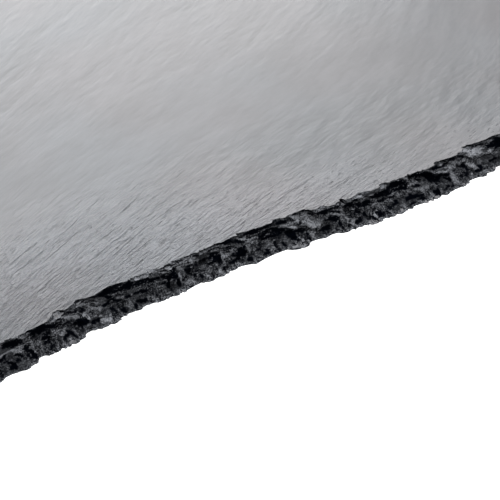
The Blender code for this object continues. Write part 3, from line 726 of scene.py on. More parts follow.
def all_slivers():
    """The front's slivers, then chance ones the rest of the way round."""
    slivers = [
        Sliver(sliver.middle * MM, sliver.half * MM, sliver.bite * MM, sliver.step * MM, sliver.fall)
        for sliver in FRONT_SLIVERS
    ]
    draw = random.Random(SEED + 1)
    place = SLIVER_STRETCH[0]
    while place < EDGE_LENGTH + SLIVER_STRETCH[1]:
        place += draw.uniform(*CHANCE_GAPS)
        half = draw.uniform(*CHANCE_HALVES)
        bite = draw.uniform(*CHANCE_BITES) * half
        slivers.append(Sliver(place, half, bite, draw.uniform(*CHANCE_STEPS), draw.uniform(*CHANCE_FALLS)))
    return slivers


def chip_reach(chips, along, height):
    """How far out the edge stands once every chip is struck, for places along it and heights on it."""
    draw = random.Random(SEED + 2)
    reach = np.full(np.broadcast(along, height).shape, FAR_OUT)
    for chip in chips:
        top = THICKNESS + draw.uniform(*SCOOP_TOPS)
        tall = top / draw.uniform(*SCOOP_SHARES)
        deep = (chip.foot - chip.rim) / (1 - math.sqrt(1 - (top / tall) ** 2))
        rib = (RIB_SHARE * chip.width + RIB_LEAST) / deep
        half = chip.width / 2 / math.sqrt(1 - (1 - rib) ** 2)
        across = np.abs(wrapped(along - chip.middle)) / half
        room = np.maximum(1 - across**2 - ((height - top) / tall) ** 2, LEAST_ROOM)
        scoop = chip.rim + deep * (1 - np.sqrt(room))
        reach = np.where(across < 1, np.minimum(reach, scoop), reach)
    return reach


def edge_reach(along, height, share=1.0):
    """The same with the slivers split off the rim as well. The share, a number or one for each place, is
    how much of each sliver's bite is taken."""
    chips = all_chips()
    reach = chip_reach(chips, along, height)
    for sliver in all_slivers():
        rim = float(chip_reach(chips, np.array(sliver.middle), np.array(THICKNESS)))
        across = wrapped(along - sliver.middle) / sliver.half
        lens = 1 - across**2
        opening = np.clip(0.5 + 0.5 * across, 0, 1)
        bite = sliver.bite * lens * (OPENING_BITE[0] + OPENING_BITE[1] * opening) * share
        step = sliver.step * (OPENING_STEP[0] + OPENING_STEP[1] * opening)
        below = np.maximum(THICKNESS - step - height, 0)
        reach = np.where(lens > 0, np.minimum(reach, rim - bite + below / sliver.fall), reach)
    return reach


def face_swell(x, y):
    """The slow waves of the split face, as a height."""
    turn = 2 * math.pi
    slant = y - CLIMB * x + BEND * x * x
    square = math.sin(turn * (x / WAVE_X + START_X)) * math.cos(turn * (y / WAVE_Y + START_Y))
    return SWELL * (square + SLANT_SHARE * math.sin(turn * slant / WAVE_SLANT))


def rim_point(along):
    """The point of the rim's plain outline at a distance along it from the middle of the front, and the
    direction that points out of the slab there, which is longer at the corners."""
    sides = (
        ((0, -HALF_Y), (1, 0), HALF_X),
        ((HALF_X, 0), (0, 1), HALF_Y),
        ((0, HALF_Y), (-1, 0), HALF_X),
        ((-HALF_X, 0), (0, -1), HALF_Y),
    )
    along = (along + HALF_X - CORNER) % EDGE_LENGTH - (HALF_X - CORNER)
    for (x, y), (run_x, run_y), half in sides:
        straight = half - CORNER
        if along <= straight:
            return (x + run_x * along, y + run_y * along), (run_y, -run_x)
        turn = (along - straight) / CORNER
        if turn <= math.pi / 2:
            out_x = run_y * math.cos(turn) + run_x * math.sin(turn)
            out_y = -run_x * math.cos(turn) + run_y * math.sin(turn)
            centre_x = x + run_x * straight - run_y * CORNER
            centre_y = y + run_y * straight + run_x * CORNER
            mitre = (math.cos(turn) ** 4 + math.sin(turn) ** 4) ** -0.25
            return (centre_x + CORNER * out_x, centre_y + CORNER * out_y), (mitre * out_x, mitre * out_y)
        along -= straight + CORNER_ARC + (HALF_X + HALF_Y - half - CORNER)
    raise ValueError("the distance runs past the whole edge")


def place_along(x, y):
    """The distance along the rim that belongs to a point of the middle's outline. Each half side and its
    half corner share out evenly, so the columns stand square to the edge at the middle of a side."""
    half_front = HALF_X - CORNER + CORNER_ARC / 2
    half_side = HALF_Y - CORNER + CORNER_ARC / 2
    if abs(abs(y) - MIDDLE_Y) < ALIKE:
        share = x / MIDDLE_X * half_front
        return share if y < 0 else 2 * half_side + 2 * half_front - share
    share = y / MIDDLE_Y * half_side
    return half_front + half_side + share if x > 0 else 3 * half_front + 3 * half_side - share


def all_facets(draw):
    """The front's facets, then chance ones the rest of the way round, of the same kinds."""
    facets = [Facet(*(size * MM for size in row[:4]), *row[4:]) for row in FRONT_FACETS]
    shares = [kind.share for kind in FACET_KINDS]
    place = FACET_STRETCH[0]
    while place < EDGE_LENGTH + FACET_STRETCH[1]:
        place += draw.uniform(*FACET_GAPS) * MM
        kind = draw.choices(FACET_KINDS, shares)[0]
        height, half, tall, tilt, powder = (draw.uniform(*ends) for ends in kind[1:])
        facets.append(Facet(place, height * MM, half * MM, tall * MM, tilt, powder))
    return facets


class Edge:
    """The chipped edge as tables, with a row for each height from the rim down and a column for each
    place along it. The stone is a stack of thin leaves, and each leaf breaks along a line of its own."""

    def __init__(self, along, sizes):
        draw = random.Random(sizes.seed)
        turns = 2 * math.pi * along / EDGE_LENGTH
        radius = EDGE_LENGTH / (2 * math.pi)
        self.along = along
        self.circle = [(radius * math.cos(turn), radius * math.sin(turn)) for turn in turns]
        self.split_leaves(draw)
        self.plain = edge_reach(along, np.clip(self.heights, 0, THICKNESS))
        self.reach = self.shape_rows()
        self.ragged = np.array([self.waves(RAGGED_WAVES, row) for row in range(len(self.heights))])
        lean = RIB_LEAN * (self.heights - THICKNESS / 2) + RIB_RAGGED * self.ragged
        self.phase = chip_phase(along + lean)
        self.bow = BOW * self.phase**3
        self.powder = self.paint_chip_light()
        for facet in all_facets(draw):
            self.lay_facet(facet)
        self.strike_many(draw, MIDDLING_BLOWS, sizes.chip_depth)
        self.break_leaves(sizes.leaf_wander)
        self.strike_many(draw, SMALL_BLOWS, sizes.chip_depth)
        self.roughen(sizes.grain)
        self.even_out()
        self.proud = np.clip((self.reach - self.smoothed(PROUD_WIDTH)) / PROUD_MOST, -1, 1)
        self.upward = self.face_upward()

    def chance(self, wave, number=0):
        """A wave of chance along the edge, which closes on itself, for the leaf or row of that number."""
        level = wave.level + wave.step * number
        spots = (Vector((x / wave.length, y / wave.length, level)) for x, y in self.circle)
        return wave.height * np.array([noise.noise(spot) for spot in spots])

    def waves(self, waves, number=0):
        """Several waves of chance laid over each other."""
        return sum(self.chance(wave, number) for wave in waves)

    def splinters(self, wave, leaf):
        """How much more than usual is broken off a leaf by splinters. It starts at once at the left end
        of each of them and runs out to the right."""
        level = wave.level + wave.step * leaf
        shift = self.chance(Wave(SHIFT_LENGTH * wave.length, SHIFT_SHARE, level, 0))
        place = self.along / wave.length + shift
        whole = np.floor(place)
        size = (np.sin(SCATTER[0] * whole + SCATTER[1] * level) * SCATTER[2]) % 1
        return wave.height * ((1 - place + whole) * size**2 - SPLINTER_MEAN)

    def split_leaves(self, draw):
        """Splits the thickness into leaves of uneven thickness, with LEAF_ROWS rows of points on each."""
        tops = [THICKNESS]
        while tops[-1] > LAST_LEAF:
            tops.append(tops[-1] - draw.uniform(*LEAF_THICKNESS) * MM)
        bounds = [np.full(len(self.along), THICKNESS)]
        bounds += [top + self.chance(LEAF_WAVE, number) for number, top in enumerate(tops[1:])]
        bounds.append(np.zeros(len(self.along)))
        rows = [mixed(top, bottom, share) for top, bottom in zip(bounds, bounds[1:]) for share in LEAF_ROWS]
        rows[0], rows[-1] = bounds[0], bounds[-1]
        self.heights = np.array(rows)
        self.leaves = len(bounds) - 1

    @staticmethod
    def rows_of(leaf):
        return slice(leaf * len(LEAF_ROWS), (leaf + 1) * len(LEAF_ROWS))

    def shape_rows(self):
        """The chips and slivers of the solid, whose outlines stray a little and differently on each leaf,
        less the splinters."""
        lift = self.chance(LIFT_WAVE)
        rows = []
        for leaf in range(self.leaves):
            stray = self.waves(STRAY_WAVES, leaf)
            share = 1.0 + self.chance(BITE_WAVE, leaf)
            cut = sum(self.splinters(wave, leaf) for wave in SPLINTER_WAVES) * MM * LOWER_SHARE**leaf
            for heights in self.heights[self.rows_of(leaf)]:
                level = np.clip(heights + lift, 0, THICKNESS)
                rows.append(edge_reach(self.along + stray, level, share) - cut)
        return np.array(rows)

    def break_leaves(self, wander):
        """Draws the points of each leaf onto a line of its own, more in some places than in others, and
        scallops the foot."""
        for leaf in range(self.leaves):
            rows = self.rows_of(leaf)
            held = self.reach[rows]
            middle = held[len(LEAF_ROWS) // 2]
            upper = min(1.0, RIM_SHARE * (1 - leaf / self.leaves))
            stepped = np.clip(upper * (STEPPED + self.chance(STEP_WAVE, leaf)), 0, 1)
            last = leaf == self.leaves - 1
            loose = TOP_LOOSE if leaf < TOP_LEAVES else FOOT_LOOSE if last else upper
            line = self.waves(LINE_WAVES, leaf)
            self.reach[rows] = mixed(held, middle, stepped) + wander * loose * line
        foot = ramp(self.heights, SCALLOP_HEIGHT, 0)
        scallops = sum(np.abs(self.chance(wave)) for wave in SCALLOP_WAVES)
        self.reach += SCALLOP_DEPTH * foot * (SCALLOP_OUT - scallops)

    def paint_chip_light(self):
        """Painted light, partly powdered stone, on the sides of the chips that fall away to the right, and
        painted shade on the ones that rise to the next rib and on the wall below the rim. The front has its
        own facets for that."""
        rising = ramp(self.phase + RISING_RAGGED * self.ragged, *RISING_SIDE)
        height = self.heights / THICKNESS + SHADE_RAGGED * self.ragged
        shaded = rising * ramp(np.abs(height - SHADE_HEIGHT), *SHADE_ENDS)
        depth = WALL_DEPTH + self.chance(WALL_WAVE) + WALL_RAGGED * self.ragged
        wall = ramp(self.heights - THICKNESS + depth, 0, WALL_FADE)
        powder = mixed(mixed(FALLING_LIGHT, RISING_SHADE, shaded), WALL_SHADE, wall)
        return mixed(powder, FRONT_LIGHT, ramp(np.abs(self.along), *FRONT_ENDS))

    def nearest(self, across, height):
        """The row and the column of the point nearest to the place that across is measured from."""
        column = int(np.argmin(np.abs(across)))
        return int(np.argmin(np.abs(self.heights[:, column] - height))), column

    def lay_facet(self, facet):
        """Flattens a patch of the edge to one plane, within a ragged outline, and paints its light and
        shade. Painted light, partly powdered stone, lies on the patches that slope, and the ones in painted
        shade are steep and stand back."""
        across = wrapped(self.along - facet.middle)
        near = np.flatnonzero(np.abs(across) < FACET_REACH * facet.half)
        if not len(near):
            return
        row, column = self.nearest(across, facet.height)
        across = across[near]
        rise = self.heights[:, near] - facet.height + facet.tilt * across
        slope = SHADE_SLOPE + LIGHT_SLOPE * (max(facet.powder, 0) + max(facet.powder - 1, 0))
        size = min(1, facet.tall / SMALL_FACET)
        out = LIGHT_OUT * facet.powder * size
        plane = self.reach[row, column] + out - LIGHT_TURN * facet.powder * across - slope * rise
        tall = facet.tall * (WEDGE[0] + WEDGE[1] * np.clip(1 + across / facet.half, 0, 2))
        away = np.abs(across / facet.half) ** SQUARENESS + np.abs(rise / tall) ** SQUARENESS
        away = away ** (1 / SQUARENESS) + FACET_RAGGED * self.ragged[:, near] * size
        share = ramp(away, *FACET_BORDER)
        self.reach[:, near] = mixed(self.reach[:, near], plane, share)
        self.powder[:, near] = mixed(self.powder[:, near], facet.powder, share)

    def strike_many(self, draw, blows, depth):
        """Strikes chance chips all round, more of them low on the edge than high."""
        for _ in range(blows.count):
            middle = draw.uniform(-EDGE_LENGTH / 2, EDGE_LENGTH / 2)
            height = THICKNESS * draw.uniform(*BLOW_HEIGHTS) ** BLOW_CROWDING
            radius = draw.uniform(*blows.radii) * MM
            deep = radius * (blows.depth * depth) * draw.uniform(*BLOW_DEPTHS)
            self.strike(middle, height, radius, deep, draw.uniform(*BLOW_STRETCHES))

    def strike(self, middle, height, radius, depth, stretch):
        """Scoops out one chip, a cap of a ball that is stretched along the edge."""
        across = wrapped(self.along - middle) / stretch
        near = np.flatnonzero(np.abs(across) < BLOW_REACH * radius)
        if not len(near):
            return
        row, column = self.nearest(across, height)
        across = across[near]
        above, below = max(row - LEAN_ROWS, 0), min(row + LEAN_ROWS, len(self.heights) - 1)
        rise = self.heights[above, column] - self.heights[below, column]
        lean = (self.reach[above, column] - self.reach[below, column]) / rise
        ball = (radius * radius + depth * depth) / (2 * depth)
        out = 1 / math.hypot(1, lean)
        up = -lean * out
        centre_out = self.reach[row, column] + out * (ball - depth)
        centre_up = height + up * (ball - depth)
        heights = self.heights[:, near]
        room = ball * ball - across**2 - (heights - centre_up) ** 2
        close = np.hypot(across, heights - height) < BLOW_REACH * radius
        scoop = centre_out - np.sqrt(np.maximum(room, 0))
        held = self.reach[:, near]
        self.reach[:, near] = np.where((room > 0) & close, np.minimum(held, scoop), held)

    def roughen(self, size):
        """Roughens the edge with grain."""
        for column, (x, y) in enumerate(self.circle):
            for row, height in enumerate(self.heights[:, column]):
                spot = Vector((x, y, height))
                rough = sum(share * noise.noise(spot / width) for width, share in GRAINS)
                self.reach[row, column] += size * rough

    def even_out(self):
        """Snaps off thin ribs, and keeps the rim and the foot close to the solid's."""
        height = self.heights / THICKNESS
        free = ramp(np.minimum(height, 1 - height), 0, END_SHARE)
        self.hold(self.smoothed(SMOOTH_WIDTH), free, SMOOTH_IN, SMOOTH_OUT)
        self.hold(self.plain, free, SOLID_IN, SOLID_OUT)

    def hold(self, shape, free, inward, outward):
        """Keeps the edge within limits of a shape, from the first ones at 0 free to the second at 1."""
        self.reach = shape + np.clip(self.reach - shape, -mixed(*inward, free), mixed(*outward, free))

    def face_upward(self):
        """How far each point of the edge faces upwards, from -1 to 1."""
        rise = np.gradient(self.heights, axis=0)
        lean = np.gradient(self.reach, axis=0) / rise
        turn = np.gradient(self.reach, self.along, axis=1)
        return -lean / np.sqrt(1 + lean**2 + turn**2)

    def smoothed(self, width):
        """The edge with all that is much narrower than width taken out of each of its rows."""
        even = np.arange(-EDGE_LENGTH / 2, EDGE_LENGTH / 2, EVEN_STEP)
        reach = int(KERNEL_REACH * width / EVEN_STEP)
        kernel = np.exp(-0.5 * (np.arange(-reach, reach + 1) * EVEN_STEP / width) ** 2)
        kernel /= kernel.sum()
        rows = []
        for row in self.reach:
            padded = np.pad(np.interp(even, self.along, row, period=EDGE_LENGTH), reach, mode="wrap")
            smooth = np.convolve(padded, kernel, "valid")
            rows.append(np.interp(self.along, even, smooth, period=EDGE_LENGTH))
        return np.array(rows)


def back_relief(x, y):
    """The low relief round the back's outline, which never reaches below the floor."""
    return BACK_HEIGHT * (1 + noise.noise(Vector((x, y, BACK_LEVEL)) / BACK_LENGTH))


def across_streaks(x, y):
    """A measure that grows across the streaks and is the same all along each one."""
    x, y = x - STREAK_X, y - STREAK_Y
    first, fan, curl = STREAK_SLOPES
    spread = 1 - fan * x + fan * fan / 2 * x * x
    return y * spread - first * x + first * fan / 2 * x * x - (curl + first * fan * fan / 2) / 3 * x * x * x


def along_streaks(x, y):
    """A measure that grows along the streaks."""
    return x + STREAK_RISE * y


def face_relief(x, y):
    """The face's slow waves with its lower, shorter ones, which run with the streaks."""
    run, slant = along_streaks(x, y), across_streaks(x, y)
    height = face_swell(x, y)
    for wave in FACE_WAVES:
        height += wave.height * noise.noise(Vector((run / wave.length, slant / wave.width, wave.level)))
    return height


class SlabMaker:
    """Draws the slab ring by ring from the middle of its face, down the edge and in under its back."""

    def __init__(self, sizes):
        self.bm = bmesh.new()
        self.column = self.bm.verts.layers.int.new("column")
        self.ring_number = self.bm.verts.layers.int.new("ring")
        self.finish = {name: self.bm.verts.layers.float.new(name) for name in EDGE_LAYERS}
        self.map = self.bm.loops.layers.uv.new(MAP_NAME)
        self.make_middle()
        self.ring = [edge for edge in self.bm.edges if edge.is_boundary]
        self.start = self.number_columns()
        self.edge = Edge(self.along, sizes)
        self.base = [rim_point(place) for place in self.along]
        self.count = 0

    def make_middle(self):
        """The middle of the face, as a grid with a finely divided outline."""
        bmesh.ops.create_grid(
            self.bm,
            x_segments=CELLS[0],
            y_segments=CELLS[1],
            size=1,
            matrix=Matrix.Diagonal((MIDDLE_X, MIDDLE_Y, 1, 1)),
        )
        border = [edge for edge in self.bm.edges if edge.is_boundary]
        close = [edge for edge in border if self.seen_close(edge)]
        plain = [edge for edge in border if not self.seen_close(edge)]
        bmesh.ops.subdivide_edges(self.bm, edges=close, cuts=CLOSE_COLUMNS - 1)
        bmesh.ops.subdivide_edges(self.bm, edges=plain, cuts=COLUMNS_A_CELL - 1)
        for vert in self.bm.verts:
            vert.co.z = THICKNESS + face_relief(vert.co.x, vert.co.y)

    @staticmethod
    def seen_close(edge):
        """Whether the camera sees the slab's edge from close by there."""
        left, right = sorted(vert.co.x for vert in edge.verts)
        low = max(vert.co.y for vert in edge.verts)
        return low < -MIDDLE_Y + ALIKE and left >= CLOSE_STRETCH[0] and right <= CLOSE_STRETCH[1]

    def number_columns(self):
        """Numbers the columns round the outline and keeps where each stands along the rim."""
        verts = list({vert for edge in self.ring for vert in edge.verts})
        verts.sort(key=lambda vert: place_along(vert.co.x, vert.co.y))
        for number, vert in enumerate(verts):
            vert[self.column] = number
        self.along = np.array([place_along(vert.co.x, vert.co.y) for vert in verts])
        return [vert.co.copy() for vert in verts]

    def draw_ring(self, place):
        """Extrudes the ring and puts each new point where place says for its column."""
        self.count += 1
        drawn = bmesh.ops.extrude_edge_only(self.bm, edges=self.ring)["geom"]
        self.ring = [item for item in drawn if isinstance(item, bmesh.types.BMEdge) and item.is_boundary]
        for vert in (item for item in drawn if isinstance(item, bmesh.types.BMVert)):
            vert.co = place(vert[self.column])
            vert[self.ring_number] = self.count

    def on_edge(self, column, row):
        """A point of the chipped edge, lifted by the swell of the face, less and less down to the foot."""
        (x, y), (out_x, out_y) = self.base[column]
        out = self.edge.reach[row, column]
        x, y = x + out_x * out, y + out_y * out
        height = self.edge.heights[row, column]
        return Vector((x, y, height + height / THICKNESS * face_relief(x, y)))

    def on_face(self, column, share):
        """A point of the face, that share of the way from its middle's outline to the rim."""
        spot = self.start[column].lerp(self.on_edge(column, 0), share)
        return Vector((spot.x, spot.y, THICKNESS + face_relief(spot.x, spot.y)))

    def on_back(self, column, share):
        """A point of the back, that share of the way in from the foot. The last ring lies on the floor."""
        foot, inner = self.on_edge(column, -1), self.start[column]
        x, y = mixed(foot.x, inner.x, share), mixed(foot.y, inner.y, share)
        return Vector((x, y, back_relief(x, y) if share < 1 else 0))

    def build(self):
        """The whole slab, closed, with what its finishes and its map need."""
        rows = len(self.edge.heights)
        for share in FACE_SHARES:
            self.draw_ring(lambda column, share=share: self.on_face(column, share))
        for row in range(rows):
            self.draw_ring(lambda column, row=row: self.on_edge(column, row))
        for share in (*BACK_SHARES, 1.0):
            self.draw_ring(lambda column, share=share: self.on_back(column, share))
        bmesh.ops.edgeloop_fill(self.bm, edges=self.ring)
        bmesh.ops.triangulate(self.bm, faces=self.bm.faces)
        bmesh.ops.recalc_face_normals(self.bm, faces=self.bm.faces)
        self.bm.normal_update()
        self.sort_faces()
        first_wall = len(FACE_SHARES) + 1
        self.keep_finish(first_wall, rows)
        self.map_faces(first_wall, rows)
        return self.bm

    def sort_faces(self):
        """Stores the faces in the order of their points, because extruding leaves them in any order."""
        self.bm.verts.index_update()
        count = len(self.bm.verts)

        def number(face):
            first, second, third = sorted(vert.index for vert in face.verts)
            return (first * count + second) * count + third

        self.bm.faces.sort(key=number)

    def keep_finish(self, first_wall, rows):
        """Puts on each point of the edge what its finish reads."""
        for vert in self.bm.verts:
            row = vert[self.ring_number] - first_wall
            if 0 <= row < rows:
                for name, layer in self.finish.items():
                    vert[layer] = getattr(self.edge, name)[row, vert[self.column]]

    def map_faces(self, first_wall, rows):
        """Lays the face and the back out flat, and the edge in strips."""
        last_wall = first_wall + rows - 1
        for face in self.bm.faces:
            rings = [vert[self.ring_number] for vert in face.verts]
            if max(rings) <= first_wall:
                self.map_flat(face, FACE_MAP, 1)
            elif min(rings) >= last_wall:
                self.map_flat(face, BACK_MAP, -1)
            else:
                self.map_strip(face, first_wall, rows)

    def map_flat(self, face, chart, turn):
        """Maps a face as seen from above, or turned over with a turn of -1."""
        for loop in face.loops:
            x, y, _ = loop.vert.co
            across, up = chart.length * x, turn * chart.length * y
            loop[self.map].uv = (chart.middle_u + across, chart.middle_v + up)

    def map_strip(self, face, first_wall, rows):
        """Maps a face of the edge: places along it run to the right, and rows down."""
        columns = [loop.vert[self.column] for loop in face.loops]
        if max(columns) - min(columns) > 1:  # the face that closes the ring
            columns = [column or len(self.along) for column in columns]
        start = self.along[0]
        places = [
            self.along[column] - start if column < len(self.along) else EDGE_LENGTH for column in columns
        ]
        length = EDGE_LENGTH / STRIPS
        strip = min(int(min(places) / length), STRIPS - 1)
        for loop, place in zip(face.loops, places):
            up = 1 - (loop.vert[self.ring_number] - first_wall) / (rows - 1)
            loop[self.map].uv = (
                STRIP_LEFT + STRIP_LENGTH * (place / length - strip),
                STRIP_FOOT + STRIP_STEP * strip + STRIP_HEIGHT * up,
            )


class Field:
    """A shader socket that can be used in sums."""

    def __init__(self, maker, socket):
        self.maker = maker
        self.socket = socket

    def maths(self, operation, *others, clamp=False):
        settings = {"operation": operation, "use_clamp": clamp}
        return self.maker.node("ShaderNodeMath", settings, dict(enumerate((self, *others))))

    def __add__(self, other):
        return self.maths("ADD", other)

    __radd__ = __add__

    def __mul__(self, other):
        return self.maths("MULTIPLY", other)

    __rmul__ = __mul__

    def __sub__(self, other):
        return self.maths("SUBTRACT", other)

    def __rsub__(self, other):
        return (self * -1) + other

    def between(self, low, high):
        """0 as far as low, 1 from high on, and smooth between them. Either may be the lower one."""
        return self.maker.node(
            "ShaderNodeMapRange",
            {"interpolation_type": "SMOOTHSTEP"},
            {"Value": self, "From Min": low, "From Max": high, "To Min": 0.0, "To Max": 1.0},
        )

    def clamped(self):
        """The same, kept from 0 to 1."""
        return self.maths("ADD", 0.0, clamp=True)


class FinishMaker:
    """Builds one material's nodes."""

    def __init__(self, name):
        self.material = bpy.data.materials.new(name)
        self.material.use_nodes = True
        self.tree = self.material.node_tree
        self.shader = self.tree.nodes["Principled BSDF"]

    def node(self, kind, settings=None, inputs=None, output=0):
        """Adds a node of any kind and gives back one of its outputs."""
        made = self.tree.nodes.new(kind)
        for key, value in (settings or {}).items():
            setattr(made, key, value)
        self.feed(made, inputs or {})
        return Field(self, made.outputs[output])

    def feed(self, made, inputs):
        """Links the inputs that are fields, and sets the others."""
        for key, value in inputs.items():
            if isinstance(value, Field):
                self.tree.links.new(value.socket, made.inputs[key])
            else:
                made.inputs[key].default_value = value

    def finish(self, **inputs):
        """The material, with these inputs of its shader fed."""
        self.feed(self.shader, {key.replace("_", " "): value for key, value in inputs.items()})
        return self.material

    def place(self):
        """The object's own coordinates, whole and split in three."""
        whole = self.node("ShaderNodeTexCoord", output="Object")
        parts = [self.node("ShaderNodeSeparateXYZ", inputs={0: whole}, output=axis) for axis in "XYZ"]
        return whole, *parts

    def depth(self, x, y):
        """How far in from the slab's outline a place lies."""
        return (HALF_X - x.maths("ABSOLUTE")).maths("MINIMUM", HALF_Y - y.maths("ABSOLUTE"))

    def vector(self, x, y, z):
        return self.node("ShaderNodeCombineXYZ", inputs={0: x, 1: y, 2: z})

    def noise(self, vector, scale=1.0, detail=2.0, roughness=0.5):
        return self.node(
            "ShaderNodeTexNoise",
            inputs={"Vector": vector, "Scale": scale, "Detail": detail, "Roughness": roughness},
            output="Fac",
        )

    def drawn_out(self, parts, scales, **settings):
        """Noise with a scale of its own along each part of a place."""
        x, y, z = (part * scale for part, scale in zip(parts, scales))
        return self.noise(self.vector(x, y, z), **settings)

    def steps(self, run, slant, count, wander, sway, fade):
        """Leaves that end in steps facing the front, count of them to a metre, and the lines of the steps,
        for painted shade. Sway and fade are how finely they wander and come and go, along the streaks and
        across them."""
        bent = self.noise(self.vector(run * sway[0], slant * sway[1], 0.0))
        place = (slant * count + bent * wander).maths("FRACT")
        height = self.noise(self.vector(run * fade[0], slant * fade[1], 0.7)).between(0.42, 0.66)
        return (place.between(0.88, 1.0) - place) * height, place.between(0.80, 0.94) * height

    def mix(self, factor, first, second):
        """One colour passing over into another."""
        colours = {6: rgba(first), 7: rgba(second)}
        return self.node("ShaderNodeMix", {"data_type": "RGBA"}, {"Factor": factor, **colours}, output=2)

    def bump(self, height, distance):
        return self.node("ShaderNodeBump", inputs={"Height": height, "Distance": distance})


def rgba(colour):
    return colour if isinstance(colour, Field) else (*colour, 1.0)


def tinted(colour, share, tint=(1, 1, 1)):
    """A colour at a share of its strength, with each of its parts changed by the tint."""
    return tuple(part * share * more for part, more in zip(colour, tint))


def split_face(colours, sizes):
    """The face that split along the cleavage: dull sheen, and the low steps of its leaves, whose edges run
    as streaks that bend across the slab. They are bold near the rim, most of all at the left. Shade is
    painted into its colour along the steps and in the nicks, near the rim and towards the right."""
    maker = FinishMaker("split_face")
    whole, x, y, z = maker.place()
    bend = maker.noise(whole, scale=150.0, roughness=0.6)
    run, slant = along_streaks(x, y), across_streaks(x, y) + bend * (1.2 * MM)
    streaks = (run, slant, z)
    depth = maker.depth(x, y)
    near = depth.between(*BOLD_DEPTHS)
    worn = depth.between(*DULL_DEPTHS)
    left = x.between(*BOLD_LEFT)
    rough = (0.02 + 0.98 * near.maths("POWER", 1.6)) * (0.06 + 0.94 * left)
    rough = rough + depth.between(*ROUGH_DEPTHS) * (0.18 + 0.6 * x.between(*ROUGH_LEFT))
    bold = (0.04 + 0.96 * near) * (0.15 + 0.85 * left)
    wide, wide_line = maker.steps(run, slant, 270, 1.2, (60, 300), (110, 330))
    narrow, narrow_line = maker.steps(run, slant, 900, 2.2, (200, 1000), (260, 700))
    swells = maker.drawn_out(streaks, (85, 260, 100), roughness=0.55)
    folds = maker.drawn_out(streaks, (200, 580, 300), detail=3.0, roughness=0.55)
    ripples = maker.drawn_out(streaks, (210, 1500, 300), roughness=0.6)
    grain = maker.noise(whole, scale=3200.0, detail=1.0)
    nicks = maker.drawn_out(streaks, (420, 1900, 400), detail=1.0).between(0.66, 0.74)
    cloud = maker.drawn_out(streaks, (45, 130, 60), detail=3.0, roughness=0.6)
    tint = maker.noise(whole, scale=24.0).between(0.35, 0.65)
    relief = 7.0 * wide * bold + 6.0 * folds * (0.04 + 0.96 * near) * (0.45 + 0.55 * left)
    relief = relief + 14.0 * swells * (0.14 + 0.86 * near + 0.7 * rough)
    relief = relief + (4.5 * narrow + 12.0 * ripples + 3.6 * grain - 9.0 * nicks) * rough
    # Dark lines along the steps and in the nicks: painted shade
    lines = 0.5 * wide_line * bold + 0.55 * narrow_line * (0.04 + 0.96 * rough)
    lines = lines + 1.3 * nicks * (0.08 + 0.20 * near + 0.75 * rough)
    # The tone is darkened by those lines, near the rim and towards the right, as painted shade
    tone = 0.42 * (0.7 * cloud + 0.3 * folds).between(0.22, 0.78) - 0.34 * lines
    tone = tone + (0.86 + 2.5 * (grain - 0.5)) * rough - 0.16 * near - 0.13 * x.between(*SHADE_RIGHT)
    dark, light = (
        maker.mix(tint, tinted(colours.face, share, COOL), tinted(colours.face, share, WARM))
        for share in (DARKEST, LIGHTEST)
    )
    return maker.finish(
        Base_Color=maker.mix(tone.clamped(), dark, light),
        Roughness=0.36 + 0.06 * cloud + 0.16 * worn,
        Normal=maker.bump(relief, sizes.streak),
    )


